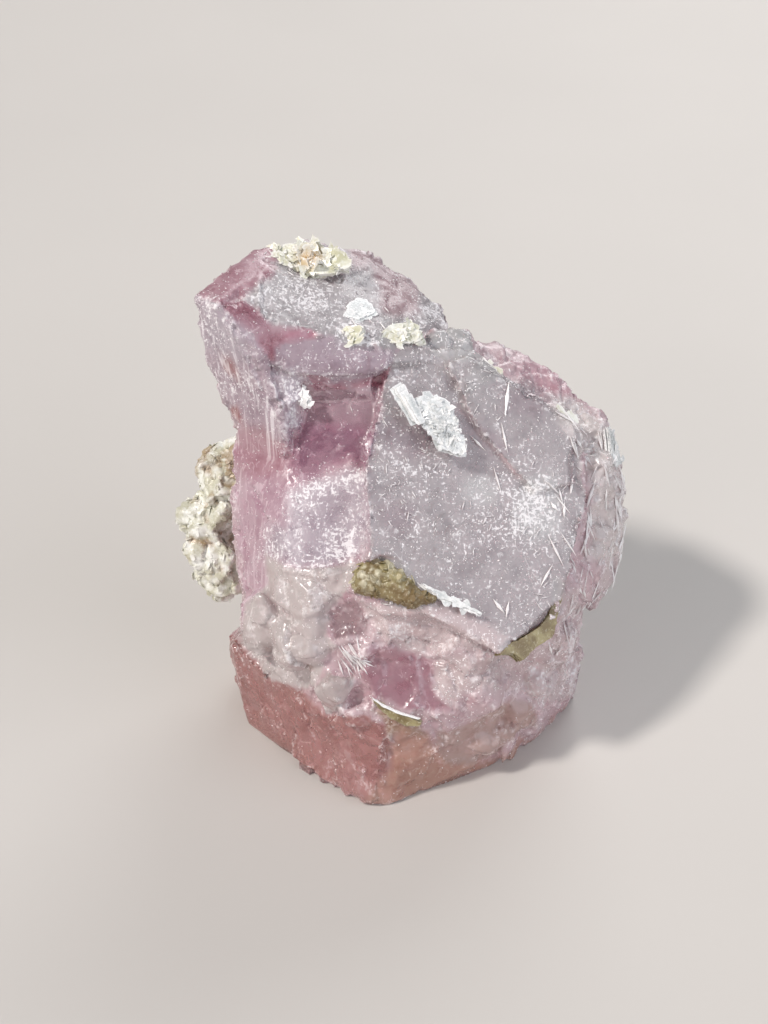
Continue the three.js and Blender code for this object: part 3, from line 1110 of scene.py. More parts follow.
@dataclass
class Crystal:
    """The apatite crystal: its faces, its breaks and its colours."""

    seats: Sequence["Seat"]
    node: str = "apatite_crystal"
    voxel: float = 0.21
    most_faces: int = 190000
    sharp_angle: float = 0.4
    finish: ApatiteFinish = field(default_factory=ApatiteFinish)
    body: Tint = Tint.SHELL
    lumpy: tuple[Egg, ...] = (
        Egg((-9.5, -5.0, 15.5), (6.5, 6.5, 7.5)),
        Egg((9.0, -6.5, 7.0), (6.5, 5.5, 6.5)),
    )
    fibrous: Egg = Egg((-4.8, -9.0, 15.0), (1.5, 1.8, 2.0))
    swellings: tuple[tuple[Corner, Corner], ...] = (
        ((-12.3, -4.0, 16.4), (1.9, 1.8, 2.9)),
        ((-8.4, -6.4, 18.0), (2.3, 1.8, 2.1)),
        ((-10.0, -5.8, 13.6), (1.9, 1.6, 1.6)),
        ((-6.3, -9.2, 12.2), (1.3, 1.3, 2.1)),
        ((-4.2, -9.6, 9.2), (1.7, 1.2, 1.0)),
        ((7.2, -7.2, 5.0), (2.8, 1.9, 2.3)),
        ((10.2, -5.8, 6.8), (1.7, 1.5, 1.6)),
        ((12.0, -4.4, 9.0), (1.6, 1.5, 2.0)),
        ((8.4, -7.6, 10.4), (1.9, 1.3, 1.5)),
        ((2.6, 9.0, 36.9), (1.7, 1.7, 1.5)),
        ((11.6, -4.6, 17.2), (1.6, 1.4, 1.8)),
    )
    faces: dict[str, Face] = field(default_factory=lambda: {
        "roof": Face(
            (0.35, -0.25, 0.9), (-12.5, 2.0, 36.0), (6.0, 19.0, 46.0),
            # Grey: frost and painted sheen.
            Tint.SHEEN_GREY, frost=0.7, least=0.8,
        ),
        "roof_left": Face(
            (0.0, -0.05, 1.0), (-19.0, 2.0, 41.0), (-11.5, 19.0, 46.0),
            Tint.PINK, frost=0.3,
        ),
        "bevel": Face(
            (0.2, -0.85, 0.47), (-19.0, 0.0, 38.0), (-8.0, 6.0, 46.0),
            Tint.ROSE, frost=0.15,
        ),
        "neck": Face(
            (-0.63, -0.76, -0.15), (-20.0, -1.0, 29.0), (-9.0, 9.0, 45.0),
            Tint.BLUSH, frost=0.55,
        ),
        "brow": Face(
            (0.05, -0.95, 0.25), (-12.5, 1.0, 35.5), (-1.0, 6.0, 40.5),
            Tint.LILAC, frost=0.4, least=0.85,
        ),
        "window": Face(
            (-0.164, -0.74, 0.652), (-12.5, -8.0, 19.0), (-2.6, 7.0, 37.0),
            Tint.PINK, frost=0.3,
        ),
        "strip": Face(
            (-0.6, -0.6, 0.53), (-17.0, -5.0, 15.0), (-9.0, 6.0, 31.0),
            Tint.PINK_GLASS, frost=0.3, least=0.85,
        ),
        "plate": Face(
            (0.3, -0.7, 0.65), (-3.6, -11.0, 15.0), (17.5, 9.0, 39.0),
            # Grey: frost and painted sheen.
            Tint.SHEEN_GREY, frost=0.55, least=0.25, anchor=(5.9, -2.1, 26.3), near=1.7,
        ),
    })
    clouds: tuple[Patch, ...] = (
        Patch((-3.0, 15.0, 41.0), (6.0, 4.0, 3.0), Tint.DUSK, strength=0.8, frost=0.3),
        # Salmon cloud round the foot, darkened as painted shade at the bottom.
        Patch((-12.0, -2.0, 3.5), (12.0, 13.0, 8.5), Tint.SHADED_SALMON, strength=0.9, frost=0.1),
        Patch((3.5, -9.5, 2.5), (7.0, 5.0, 4.5), Tint.PEACH, strength=0.9, frost=0.12),
        Patch((14.5, -2.0, 10.0), (4.0, 4.0, 6.0), Tint.BLUSH, strength=0.75, frost=0.5),
        Patch((19.5, 6.0, 19.0), (4.0, 8.0, 12.0), Tint.CHALK, strength=0.6, frost=0.6),
        Patch((15.0, 13.0, 31.0), (9.0, 5.0, 4.0), Tint.PINK, strength=0.7, frost=0.4),
        Patch((6.0, 16.0, 10.0), (12.0, 8.0, 12.0), Tint.PINK_GLASS, strength=0.7, frost=0.25),
        Patch((-6.0, 18.0, 34.0), (9.0, 6.0, 9.0), Tint.BLUSH, strength=0.7, frost=0.35),
        Patch((-9.0, 15.0, 15.0), (8.0, 7.0, 9.0), Tint.CHALK, strength=0.6, frost=0.5),
        Patch((9.0, 17.0, 24.0), (8.0, 6.0, 7.0), Tint.ROSE, strength=0.45, frost=0.15),
        Patch((0.0, 18.0, 5.0), (11.0, 6.0, 6.0), Tint.PEACH, strength=0.55, frost=0.1),
    )
    spots: tuple[Patch, ...] = (
        Patch((-15.8, 4.4, 37.3), (1.2, 1.2, 1.6), Tint.RUST, strength=0.7, frost=0.2),
        Patch((-15.5, 5.4, 32.2), (1.4, 1.4, 1.2), Tint.RUST, strength=0.8, frost=0.1),
        Patch((-8.0, -6.5, 13.0), (1.6, 1.6, 1.4), Tint.TAN, strength=0.5, frost=0.2),
    )
    zones: dict[str, Zone] = field(default_factory=lambda: {
        "roof_left": Zone(
            ((-16.9, 19.8), (-15, 20.9), (-12.2, 23.5), (-11, 23.9), (-9.8, 21.8), (-10.5, 20.9),
             (-12.5, 19.2), (-13.3, 19), (-15.2, 19.2)),
            Tint.PINK, frost=0.25, polish=0.2, clear=0.4, soft=0.35,
        ),
        "roof": Zone(
            ((-12.5, 19.2), (-10.5, 20.9), (-7.5, 21.1), (-3, 21.7), (-1, 22.4), (-0.4, 19.7),
             (-0.1, 17.8), (-2.2, 17.2), (-4.5, 16.9), (-6.1, 16.6), (-9.9, 16.6), (-11.2, 17.8),
             (-13, 19)),
            # Grey: frost and painted sheen.
            Tint.SHEEN_GREY, frost=0.7, polish=0.0, clear=0.0, soft=0.5,
        ),
        "crest": Zone(
            ((-3, 24), (-1, 23.2), (3.2, 20.6), (3.2, 17.8), (0.9, 17.5), (-0.1, 18.1), (-0.4, 20.1),
             (-1, 22.4), (-2.8, 22)),
            Tint.DUSK, frost=0.3, polish=0.1, clear=0.1, soft=0.6,
        ),
        "bevel": Zone(
            ((-15.2, 19.2), (-13.3, 19), (-11.2, 17.8), (-9.9, 16.4), (-8.5, 15.7), (-9.9, 14.9),
             (-9.9, 13.3), (-10.5, 14), (-11.9, 16.4), (-14.6, 18.4)),
            Tint.ROSE, frost=0.08, polish=0.35, clear=0.8, soft=0.15,
        ),
        "neck": Zone(
            ((-17.3, 19.7), (-15.3, 19), (-11.9, 16.3), (-9.9, 13.2), (-8.7, 10.1), (-8.1, 7),
             (-8.4, 6.1), (-9.9, 6.4), (-10.9, 7.5), (-13, 7.6), (-13.8, 8.6), (-15.6, 11.6),
             (-16.6, 14.7), (-17.3, 18.4)),
            Tint.LILAC, frost=0.45, polish=0.1, clear=0.0, soft=0.25,
        ),
        "neck_white": Zone(
            ((-16.9, 18.4), (-15.3, 18.9), (-12.7, 16), (-11.9, 14), (-14.6, 13.8), (-15.9, 14.7)),
            Tint.PALE_LILAC, frost=0.6, polish=0.1, clear=0.0, soft=0.9,
        ),
        "brow": Zone(
            ((-9.9, 14.9), (-8.5, 15.2), (-5.3, 14.4), (-4.4, 14.6), (-1, 14.9), (1.3, 14.6),
             (0.9, 13.5), (0.1, 12.7), (-1, 12.3), (-2.5, 11.8), (-4.4, 11.9), (-5.6, 12.1),
             (-6.8, 12.1), (-7.8, 12.7), (-9.6, 12.9)),
            Tint.LILAC, frost=0.4, polish=0.1, clear=0.1, soft=0.2,
        ),
        # Dark rose band under the brow's lip: painted shadow of the overhang, also made glassy.
        "brow_shadow_band": Zone(
            ((-7, 12.1), (-4.4, 11.8), (-2.7, 11.7), (-0.7, 12.3), (0.3, 12.7), (-0.1, 11), (-1.4, 11.2),
             (-3.8, 11), (-5.3, 10.7), (-6.2, 10.9)),
            Tint.ROSE, frost=0.08, polish=0.3, clear=0.7, soft=0.2,
        ),
        "notch": Zone(
            ((-9.9, 13.2), (-7.8, 12.9), (-7.5, 11.6), (-7.8, 9.3), (-7.5, 8.1), (-8.1, 7), (-8.7, 8.6),
             (-9.3, 10.9)),
            Tint.PALE_LILAC, frost=0.7, polish=0.0, clear=0.0, soft=0.4,
        ),
        "window_top": Zone(
            ((-6.2, 10.7), (-0.1, 11), (-0.4, 8.6), (-1, 7), (-3, 7.8), (-5.3, 7.8), (-7.5, 8.1),
             (-7.1, 9.3)),
            Tint.PINK_GLASS, frost=0.12, polish=0.4, clear=0.8, soft=0.5,
        ),
        "window_deep": Zone(
            ((-8.1, 7.2), (-7.5, 8.1), (-5.3, 7.8), (-3, 7.8), (-1, 7), (-1.7, 3.9), (-3, 5),
             (-4.8, 4.2), (-6.1, 3), (-8.4, 3), (-8.3, 5.5)),
            Tint.MAGENTA, frost=0.12, polish=0.4, clear=1.0, soft=0.8,
        ),
        "strip_top": Zone(
            ((-13.5, 7.2), (-10.9, 7.5), (-9.9, 6.4), (-8.4, 5.9), (-8.3, 2.9), (-13.5, 2.9)),
            Tint.PINK, frost=0.2, polish=0.2, clear=0.4, soft=1.1,
        ),
        "strip_low": Zone(
            ((-13, 2.9), (-8.8, 2.9), (-8.8, -0.7), (-10.6, -1.1), (-10.6, -3.7), (-10.4, -6.1),
             (-11.6, -6.9), (-12.8, -5.7), (-12.6, -3.1)),
            Tint.PINK_GLASS, frost=0.3, polish=0.2, clear=0.3, soft=1.1,
        ),
        "window_frost": Zone(
            ((-8.6, 1.7), (-6.4, 2.9), (-5.2, 3.3), (-3.2, 4.1), (-1.6, 3.3), (-1.6, -2.7), (-2.6, -3.9),
             (-5.2, -5.1), (-8, -5.1), (-10.6, -3.7), (-10.4, -1.1), (-8.8, -1.1)),
            Tint.PALE_LILAC, frost=0.85, polish=0.0, clear=0.1, soft=1.0,
        ),
        "white_mass": Zone(
            ((-13, -11.7), (-12.6, -8.3), (-10.4, -6.5), (-10.6, -3.9), (-8, -5.1), (-5.2, -5.1),
             (-2.6, -4.3), (-3, -6.7), (-4.8, -9.1), (-5.2, -10.7), (-4.4, -11.9), (-5.2, -13.3),
             (-6.4, -15.7), (-8, -15.7), (-10.4, -14.9)),
            Tint.CHALK, frost=0.2, polish=1.0, clear=0.3, soft=0.2,
        ),
        "drop": Zone(
            ((-6.4, -15.9), (-5, -14.3), (-2.8, -14.9), (-3, -16.3), (-4.4, -18.1), (-5.4, -18.1)),
            Tint.CHALK, frost=0.05, polish=1.0, clear=0.5, calm=0.8, soft=0.2,
        ),
        "wedge": Zone(
            ((-5, -9.1), (-2.6, -7.7), (-1.6, -9.9), (-2, -11.5), (-4.4, -11.5)),
            Tint.DUSK, frost=0.1, polish=0.5, clear=0.5, calm=0.6, soft=0.2,
        ),
        "shelf": Zone(
            ((-2.5, -7.8), (1.4, -8.7), (4.6, -8.2), (7.4, -9), (9.5, -9.9), (11.1, -11.3), (9.2, -12.8),
             (6.7, -12.2), (5.3, -12.9), (3.1, -13.1), (-0.6, -11.3), (-2, -9.2)),
            Tint.BLUSH, frost=0.55, polish=0.1, clear=0.0, calm=0.4, soft=0.5,
        ),
        "rose_facet": Zone(
            ((-1.3, -12.1), (0.1, -12.4), (3.1, -13.1), (4.6, -13.8), (4.4, -15.8), (6, -17.7),
             (3.1, -17.9), (1.4, -17.4), (-1.1, -16.3), (-2.2, -14.9)),
            Tint.PINK, frost=0.06, polish=0.6, clear=0.6, calm=0.85, soft=0.3,
        ),
        "fan": Zone(
            ((5.3, -12.9), (9.2, -12.9), (12, -13.5), (12.5, -16), (10.2, -16.7), (9.5, -16),
             (7.4, -16.1), (6.3, -17.4), (4.6, -15.8), (4.7, -13.8)),
            Tint.BLUSH, frost=0.4, polish=0.3, clear=0.1, calm=0.2, soft=0.5,
        ),
        "right_glass": Zone(
            ((12, -13.5), (13.4, -12.8), (15.4, -11.3), (15.9, -6), (18.2, -8.7), (18, -11.7),
             (17.5, -16.3), (15.2, -17), (13.1, -17.2), (12.5, -16)),
            Tint.BLUSH, frost=0.5, polish=0.2, clear=0.1, calm=0.3, soft=0.6,
        ),
        "lens": Zone(
            ((4.9, -19.9), (7.4, -18.8), (8.5, -18.4), (11.6, -16.7), (13.4, -17.4), (13.8, -19.1),
             (11.8, -19.9), (9.9, -21.6), (6.7, -22.7), (4.9, -21.6)),
            Tint.MILK, frost=0.03, polish=0.7, clear=0.3, calm=0.6, soft=0.3,
        ),
        # The foot's salmon is darkened as painted shade.
        "foot": Zone(
            ((-13.8, -10.9), (-13, -11.9), (-10.4, -14.9), (-8, -15.9), (-5.4, -18.3), (-2, -18.3),
             (0, -19.3), (0.6, -20.7), (0.2, -23.1), (0, -27.5), (-1.6, -27.5), (-6.4, -24.7),
             (-9.6, -22.3), (-13.6, -20.3), (-15.2, -15.1), (-14.8, -11.1)),
            Tint.SHADED_SALMON, frost=0.03, polish=0.3, clear=0.35, calm=0.6, soft=0.15,
        ),
        "peach": Zone(
            ((0.3, -21.1), (1.9, -19.1), (4, -20), (4.7, -21.6), (6.5, -22.7), (9.9, -22.3),
             (13.8, -20.2), (17.5, -16.7), (19.1, -17.5), (15.5, -21.1), (10.6, -23.7), (7.4, -25.5),
             (3.5, -26.9), (-0.8, -28), (-2.3, -27.3), (0.5, -22.9)),
            Tint.PEACH, frost=0.03, polish=0.35, clear=0.35, calm=0.6, soft=0.6,
        ),
        # The ledge's salmon is darkened as painted shade.
        "ledge": Zone(
            ((-3.9, -19.1), (-2, -18.4), (-0.6, -19.1), (0.5, -20.4), (0.3, -21.1), (-0.9, -22),
             (-3.9, -21.1)),
            Tint.SHADED_SALMON, frost=0.03, polish=0.3, clear=0.35, calm=0.5, soft=0.4,
        ),
        "tan": Zone(
            ((-0.8, -17.5), (1.4, -18.1), (2.8, -18.8), (3.9, -20.2), (1.4, -19.9), (0.5, -20.4),
             (0, -19.1)),
            Tint.TAN, frost=0.2, polish=0.1, clear=0.0, calm=0.3, soft=0.3,
        ),
        "rim": Zone(
            ((14.8, 10.5), (17.5, 10.3), (20, 8), (21.7, 4.8), (21.9, 2.2), (21.7, -2.3), (21.4, -4),
             (18.2, -4.3), (18.7, -2.3), (18.7, 1.3), (17.3, 6.6), (15.5, 8.4)),
            Tint.CHALK, frost=0.5, polish=0.2, clear=0.1, soft=0.6,
        ),
        "knob": Zone(
            ((4.3, 15.2), (5, 16.6), (6.6, 16.9), (8, 15.6), (8.2, 14.3), (7.4, 13.4), (5.4, 13.6),
             (4.4, 14.3)),
            Tint.SILVERY, frost=0.5, polish=0.6, clear=0.3, calm=0.5, soft=0.2,
        ),
        "plate_blot": Zone(
            ((-0.2, 8.4), (1, 8.4), (3.7, 7), (4, 4.8), (2.8, 4.5), (0.5, 5.5), (-0.6, 6.6)),
            Tint.DIM, frost=0.35, polish=0.1, clear=0.1, soft=0.8,
        ),
        "plate_blot_low": Zone(
            ((-0.4, 1.3), (1, 1.1), (2.6, 0.2), (2.8, -1.4), (1, -1.9), (-0.6, -1)),
            Tint.DIM, frost=0.45, polish=0.1, clear=0.1, soft=0.8,
        ),
        "plate_brown": Zone(
            ((6.1, 9.8), (9.9, 7.1), (11.6, 5.5), (9.9, 5), (7.6, 6.6)),
            Tint.DIM, frost=0.25, polish=0.2, clear=0.2, soft=0.35,
        ),
        "plate_mauve": Zone(
            ((10.2, 11.2), (12.9, 11.6), (15, 10.1), (13.9, 8.4), (11.1, 8.9)),
            Tint.DIM, frost=0.35, polish=0.1, clear=0.2, soft=0.9,
        ),
        "plate_pale": Zone(
            ((7.2, 3.1), (9.3, 3.4), (10.4, 2.2), (10, 0.6), (7.9, 0.4), (6.9, 1.6)),
            Tint.SILVERY, frost=0.5, polish=0.0, clear=0.1, soft=0.8,
        ),
        "plate_frost": Zone(
            ((12.2, 3.1), (15.2, 3.4), (16.1, 0.4), (15.5, -2.3), (13.2, -2.6), (11.6, -0.8)),
            Tint.SILVERY, frost=0.75, polish=0.0, clear=0.0, soft=0.9,
        ),
    })
    bridges: tuple[tuple[Corner, ...], ...] = (
        ((-10.6, 3.0, 37.4), (-3.0, 4.0, 37.0), (-10.5, 4.3, 33.9), (-3.0, 3.4, 34.6),
         (-10.6, 8.0, 37.4), (-3.0, 8.0, 37.0), (-10.5, 8.0, 33.9), (-3.0, 8.0, 34.6)),
        ((-11.3, 2.4, 37.5), (-11.3, 2.0, 35.4), (-11.2, 1.7, 34.2), (-11.1, 1.9, 32.4), (-9.0, 4.2, 34.6),
         (-9.3, 3.5, 33.2), (-9.9, 2.2, 31.5), (-9.2, 3.2, 37.3), (-11.0, 8.0, 37.0), (-11.0, 8.0, 32.0)),
        ((-15.2, 4.8, 34.0), (-13.8, 3.4, 34.5), (-12.4, 2.15, 35.3), (-11.1, 1.5, 34.2), (-15.3, 4.9, 28.6),
         (-14.1, 3.8, 29.0), (-12.6, 2.6, 29.2), (-11.2, 1.4, 29.6), (-10.3, 1.2, 30.1), (-10.0, 8.0, 31.0),
         (-14.0, 8.0, 34.0), (-14.0, 8.0, 29.0)),
        ((-13.0, 11.6, 44.2), (-12.6, 13.6, 44.3), (-10.4, 14.6, 44.2), (-10.4, 11.4, 43.5),
         (-12.6, 11.6, 41.0), (-12.0, 13.6, 41.0), (-10.4, 14.6, 41.0), (-10.4, 11.4, 41.0)),
    )
    cuts: tuple[Cut, ...] = (
        Cut((0.3, -9.2, 13.0), (0.12, -0.86, 0.5), reach=6.0),
        Cut((-4.6, -7.4, 18.0), (-0.2, -0.9, 0.3), reach=3.6),
    )
    break_count: int = 70
    plain_frost: float = 0.2
    plain_polish: float = 0.1
    plain_clear: float = 0.15
    seed: int = 7

    def build(self) -> bpy.types.Mesh:
        """Builds the crystal's fine mesh, with its tint, frost, polish and masks.

        Returns:
            A mesh in millimetres.
        """
        solid = Workbench.solid(self.node)
        edges = self.sharp_edges(solid)
        self.fill_seats(solid)
        self.swell(solid)
        mesh = Workbench.remeshed(solid, self.voxel)
        points = Workbench.points(mesh)
        lumps = np.max([egg.share(points) for egg in self.lumpy], axis=0)
        points, from_edge = self.sharpened(points, edges)
        Workbench.move(mesh, points)
        normals = Workbench.normals(mesh)
        shares = {name: face.share(points, normals) for name, face in self.faces.items()}
        shares = {name: Workbench.relaxed(mesh, share, 2) for name, share in shares.items()}
        front = smoothstep(-0.05, 0.2, Workbench.relaxed(mesh, normals, 8) @ SEEN_OUT)
        seen = Flat.as_seen(points + 0.35 * self.warp(points, 1.6, Channel.ZONE_BEND))
        zones = {name: zone.share(seen) * front for name, zone in self.zones.items()}
        calm = np.max([self.zones[name].calm * share for name, share in zones.items()], axis=0)
        soft = Workbench.relaxed(mesh, points, 5)
        points = points + (soft - points) * lumps[:, None]
        flat = np.clip(sum(shares.values()), 0.0, 1.0)
        broken = (1.0 - flat) * (1.0 - lumps) * (1.0 - calm)
        for cut in (*self.cuts, *self.breaks(mesh, points, normals, broken)):
            points = cut.shaved(points)
        Workbench.move(mesh, points)
        normals = Workbench.normals(mesh)
        lift, cracks = self.relief(points, shares, lumps, calm, from_edge)
        lift *= smoothstep(0.0, 1.2, points[:, 2])
        points = points + normals * lift[:, None]
        points[:, 2] = np.maximum(points[:, 2], 0.0)
        low = smoothstep(2.4, 0.6, points[:, 2])
        points[:, :2] += (Workbench.relaxed(mesh, points[:, :2], 24) - points[:, :2]) * low[:, None]
        Workbench.move(mesh, points)
        self.keep_looks(mesh, points, shares, zones, cracks)
        return Workbench.thinned(mesh, self.most_faces)

    def breaks(self, mesh: bpy.types.Mesh, points: Array, normals: Array, broken: Array) -> list[Cut]:
        """Chooses where small pieces have broken off.

        Args:
            mesh: The crystal's mesh.
            points: Its corners' places.
            normals: The way that they face.
            broken: How likely each corner is to be in a break.

        Returns:
            Flat breaks, more of them and smaller on the rim, and none on the horn.
        """
        random = np.random.default_rng(self.seed)
        facing = Workbench.relaxed(mesh, normals, 8)
        rim = smoothstep(10.0, 14.0, points[:, 0])
        horn = smoothstep(-6.0, -8.0, points[:, 0]) * smoothstep(27.0, 29.0, points[:, 2])
        odds = broken * (1.0 + 1.5 * rim) * (1.0 - horn) + 1e-9
        chosen = random.choice(len(points), self.break_count, p=odds / odds.sum())
        made: list[Cut] = []
        for spot in chosen:
            lean = facing[spot] + random.normal(0.0, 0.14, 3)
            deep = random.uniform(0.15, 0.7) * (1.0 - 0.4 * rim[spot])
            reach = random.uniform(2.5, 6.0) * (1.0 - 0.4 * rim[spot])
            made.append(Cut(tuple(points[spot] - deep * facing[spot]), tuple(lean), reach))
        return made

    def fill_seats(self, solid: bpy.types.Mesh) -> None:
        """Closes the gaps round the mica, which grew into the crystal.

        Args:
            solid: The crystal's mesh, which is added to.
        """
        work = bmesh.new()
        work.from_mesh(solid)
        skin = BVHTree.FromBMesh(work)
        for seat in self.seats:
            if not seat.packed:
                continue
            corners = Workbench.points(Workbench.solid(seat.node))
            along, across, out = seat.axes()
            middle = (corners.min(axis=0) + corners.max(axis=0)) / 2
            wide, high = (1.1 * np.abs((corners - middle) @ way).max() + 0.6 for way in (along, across))
            ring: list[Array] = []
            for angle in np.linspace(0.0, 2.0 * math.pi, 24, endpoint=False):
                spot = middle + along * wide * math.cos(angle) + across * high * math.sin(angle)
                met = skin.ray_cast(Vector(spot + 3.0 * out), Vector(-out), 6.0)[0]
                if met is not None:
                    ring.append(np.array(met))
            surface = np.array(ring)
            level = surface @ out
            surface = surface[np.abs(level - np.median(level)) < 2.2]
            self.add_hull(work, np.vstack([surface, surface - 3.0 * out]))
        work.to_mesh(solid)
        work.free()

    def swell(self, solid: bpy.types.Mesh) -> None:
        """Adds the rounded lumps, and what fills the hollows round the horn.

        Args:
            solid: The crystal's mesh, which is added to.
        """
        random = np.random.default_rng(self.seed)
        work = bmesh.new()
        work.from_mesh(solid)
        for middle, reach in self.swellings:
            ways = random.normal(0.0, 1.0, (26, 3))
            ways *= random.uniform(0.88, 1.1, (26, 1)) / np.linalg.norm(ways, axis=1)[:, None]
            self.add_hull(work, np.array(middle) + ways * reach)
        for corners in self.bridges:
            self.add_hull(work, np.array(corners))
        work.to_mesh(solid)
        work.free()

    @staticmethod
    def add_hull(work: bmesh.types.BMesh, corners: Array) -> None:
        """Adds the tight skin round some places.

        Args:
            work: The mesh that is added to.
            corners: The places, three numbers to a row.
        """
        hull = bmesh.new()
        for corner in corners:
            hull.verts.new(corner)
        made = bmesh.ops.convex_hull(hull, input=hull.verts)
        inner = [item for item in made["geom_interior"] if isinstance(item, bmesh.types.BMVert)]
        bmesh.ops.delete(hull, geom=inner, context="VERTS")
        passing = bpy.data.meshes.new("hull")
        hull.to_mesh(passing)
        hull.free()
        work.from_mesh(passing)
        bpy.data.meshes.remove(passing)

    def sharp_edges(self, solid: bpy.types.Mesh) -> KDTree:
        """Finds the solid's sharp edges, apart from those round mica, on lumps and at the base.

        Args:
            solid: The solid's mesh.

        Returns:
            Places along them, to be searched.
        """
        work = bmesh.new()
        work.from_mesh(solid)
        spots: list[Vector] = []
        for edge in work.edges:
            if len(edge.link_faces) == 2 and edge.calc_face_angle() > self.sharp_angle:
                start, end = (vert.co.copy() for vert in edge.verts)
                steps = max(1, round(edge.calc_length() / (0.4 * self.voxel)))
                spots.extend(start.lerp(end, i / steps) for i in range(steps + 1))
        work.free()
        places = np.array(spots)
        keep = np.max([egg.share(places) for egg in self.lumpy], axis=0) < 0.2
        keep &= places[:, 2] > 0.5
        for seat in self.seats:
            if seat.packed:
                corners = Workbench.points(Workbench.solid(seat.node))
                low, high = corners.min(axis=0) - 0.8, corners.max(axis=0) + 0.8
                keep &= ~np.all((places > low) & (places < high), axis=1)
        kept = places[keep]
        tree = KDTree(len(kept))
        for i, place in enumerate(kept):
            tree.insert(place, i)
        tree.balance()
        return tree

    def sharpened(self, points: Array, edges: KDTree) -> tuple[Array, Array]:
        """Pulls the mesh's corners onto sharp edges that they are close to.

        Args:
            points: The corners' places.
            edges: Places along sharp edges.

        Returns:
            New places, and how far each corner was from an edge.
        """
        found = [edges.find(point) for point in points]
        nearest = np.array([place for place, _, _ in found])
        away = np.array([gap for _, _, gap in found])
        pull = smoothstep(0.75 * self.voxel, 0.45 * self.voxel, away)
        return points + (nearest - points) * pull[:, None], away

    def relief(
        self, points: Array, shares: dict[str, Array], lumps: Array, calm: Array, from_edge: Array
    ) -> tuple[Array, Array]:
        """Works out how far the surface stands out or in.

        Args:
            points: The corners' places.
            shares: How far each corner belongs to each flat face.
            lumps: How far each corner belongs to the glassy lumps.
            calm: How far each corner is in a smooth zone.
            from_edge: How far each corner is from a sharp edge.

        Returns:
            Heights in millimetres, and how far each corner is on a crack.
        """
        noise = StoneNoise
        lift = 0.1 * noise.fractal(points, 7.0, Channel.WAVES, 3)
        flat = np.clip(sum(shares.values()), 0.0, 1.0)
        broken = (1.0 - flat) * (1.0 - lumps) * (1.0 - calm)
        bent = points + 0.9 * self.warp(points, 2.4, Channel.BEND)
        slab, slab_border, slab_tilt = noise.cells(bent, 5.2, Channel.SLABS)
        scoop, scoop_border, tilt = noise.cells(bent, 2.6, Channel.SCOOPS)
        finely_bent = points + 0.4 * self.warp(points, 0.9, Channel.CHIP_BEND)
        chip, _, chip_tilt = noise.cells(finely_bent, 1.1, Channel.CHIPS)
        lift += broken * (0.6 * slab_tilt + 0.25 * (slab**2 - 0.3) + 0.35 * (scoop**2 - 0.3) + 0.4 * tilt)
        lift += broken * (0.1 * (chip**2 - 0.3) + 0.18 * chip_tilt)
        crack = np.maximum(smoothstep(0.08, 0.0, slab_border), 0.6 * smoothstep(0.08, 0.0, scoop_border))
        knob, knob_border, knob_tilt = noise.cells(bent * [1.0, 1.0, 0.7], 2.8, Channel.KNOBS)
        bead_tilt = noise.cells(bent, 1.3, Channel.BEADS)[2]
        lift += lumps * (1.0 - calm) * (0.35 * (0.35 - knob**2) + 0.5 * knob_tilt + 0.1 * bead_tilt)
        crack = np.clip(broken * crack + lumps * smoothstep(0.09, 0.0, knob_border), 0.0, 1.0)
        plane, plane_border, plane_tilt = noise.cells(bent, 3.4, Channel.PLANES)
        lift += calm * (1.0 - flat) * (0.4 * plane_tilt + 0.12 * (plane**2 - 0.3))
        crack = np.maximum(crack, calm * 0.25 * smoothstep(0.05, 0.0, plane_border))
        lift -= 0.12 * crack
        frosted = shares["plate"] + shares["roof"] + 0.6 * shares["window"] + 0.5 * shares["brow"]
        step = noise.fractal(points, 5.0, Channel.LEDGES, 3)
        ledge = np.floor(4.0 * step) + smoothstep(0.75, 1.0, 4.0 * step - np.floor(4.0 * step))
        grit = noise.fractal(points, 0.9, Channel.GRIT, 2)
        lift += frosted * (0.09 * (ledge - 4.0 * step) + 0.05 * grit)
        along = np.array(HORN_RUN)
        across = points - np.outer(points @ along, along)
        ribbed = shares["neck"] + 0.7 * shares["strip"]
        lift += ribbed * 0.1 * noise.fractal(across + 0.05 * points, 1.1, Channel.RIBS, 3)
        gnawed = noise.fractal(points, 1.6, Channel.WEAR, 3)
        worn = smoothstep(0.9, 0.0, from_edge) * smoothstep(0.05, 0.5, gnawed)
        return lift - 0.32 * worn, crack

    @staticmethod
    def evened(stone: bpy.types.Mesh) -> bpy.types.Mesh:
        """Copies the crystal's mesh without its small relief, for what lies flat on it.

        Args:
            stone: The crystal's mesh.

        Returns:
            A new mesh, a little further out.
        """
        calm = stone.copy()
        Workbench.move(calm, Workbench.relaxed(stone, Workbench.points(stone), 14))
        Workbench.move(calm, Workbench.points(calm) + 0.1 * Workbench.normals(calm))
        return calm

    @staticmethod
    def warp(points: Array, size: float, channel: int) -> Array:
        """Shifts that bend straight borders, three numbers to a row."""
        return np.stack([StoneNoise.fractal(points, size, channel + 5 * k, 3) for k in range(3)], axis=1)

    def keep_looks(
        self,
        mesh: bpy.types.Mesh,
        points: Array,
        shares: dict[str, Array],
        zones: dict[str, Array],
        cracks: Array,
    ) -> None:
        """Writes what the finish and the scattering read.

        Args:
            mesh: The crystal's mesh.
            points: Its corners' places.
            shares: How far each corner belongs to each flat face.
            zones: How far each corner belongs to each zone of the front.
            cracks: How far each corner is on a crack.
        """
        tint = np.tile(np.array(self.body.value), (len(points), 1))
        frost = np.full(len(points), self.plain_frost)
        polish = np.full(len(points), self.plain_polish)
        clear = np.full(len(points), self.plain_clear)
        groups = smoothstep(-0.3, 0.45, StoneNoise.fractal(points, 4.5, Channel.FROST_GROUPS, 4))
        wavy = points + 0.9 * self.warp(points, 3.0, Channel.CLOUD_BEND)

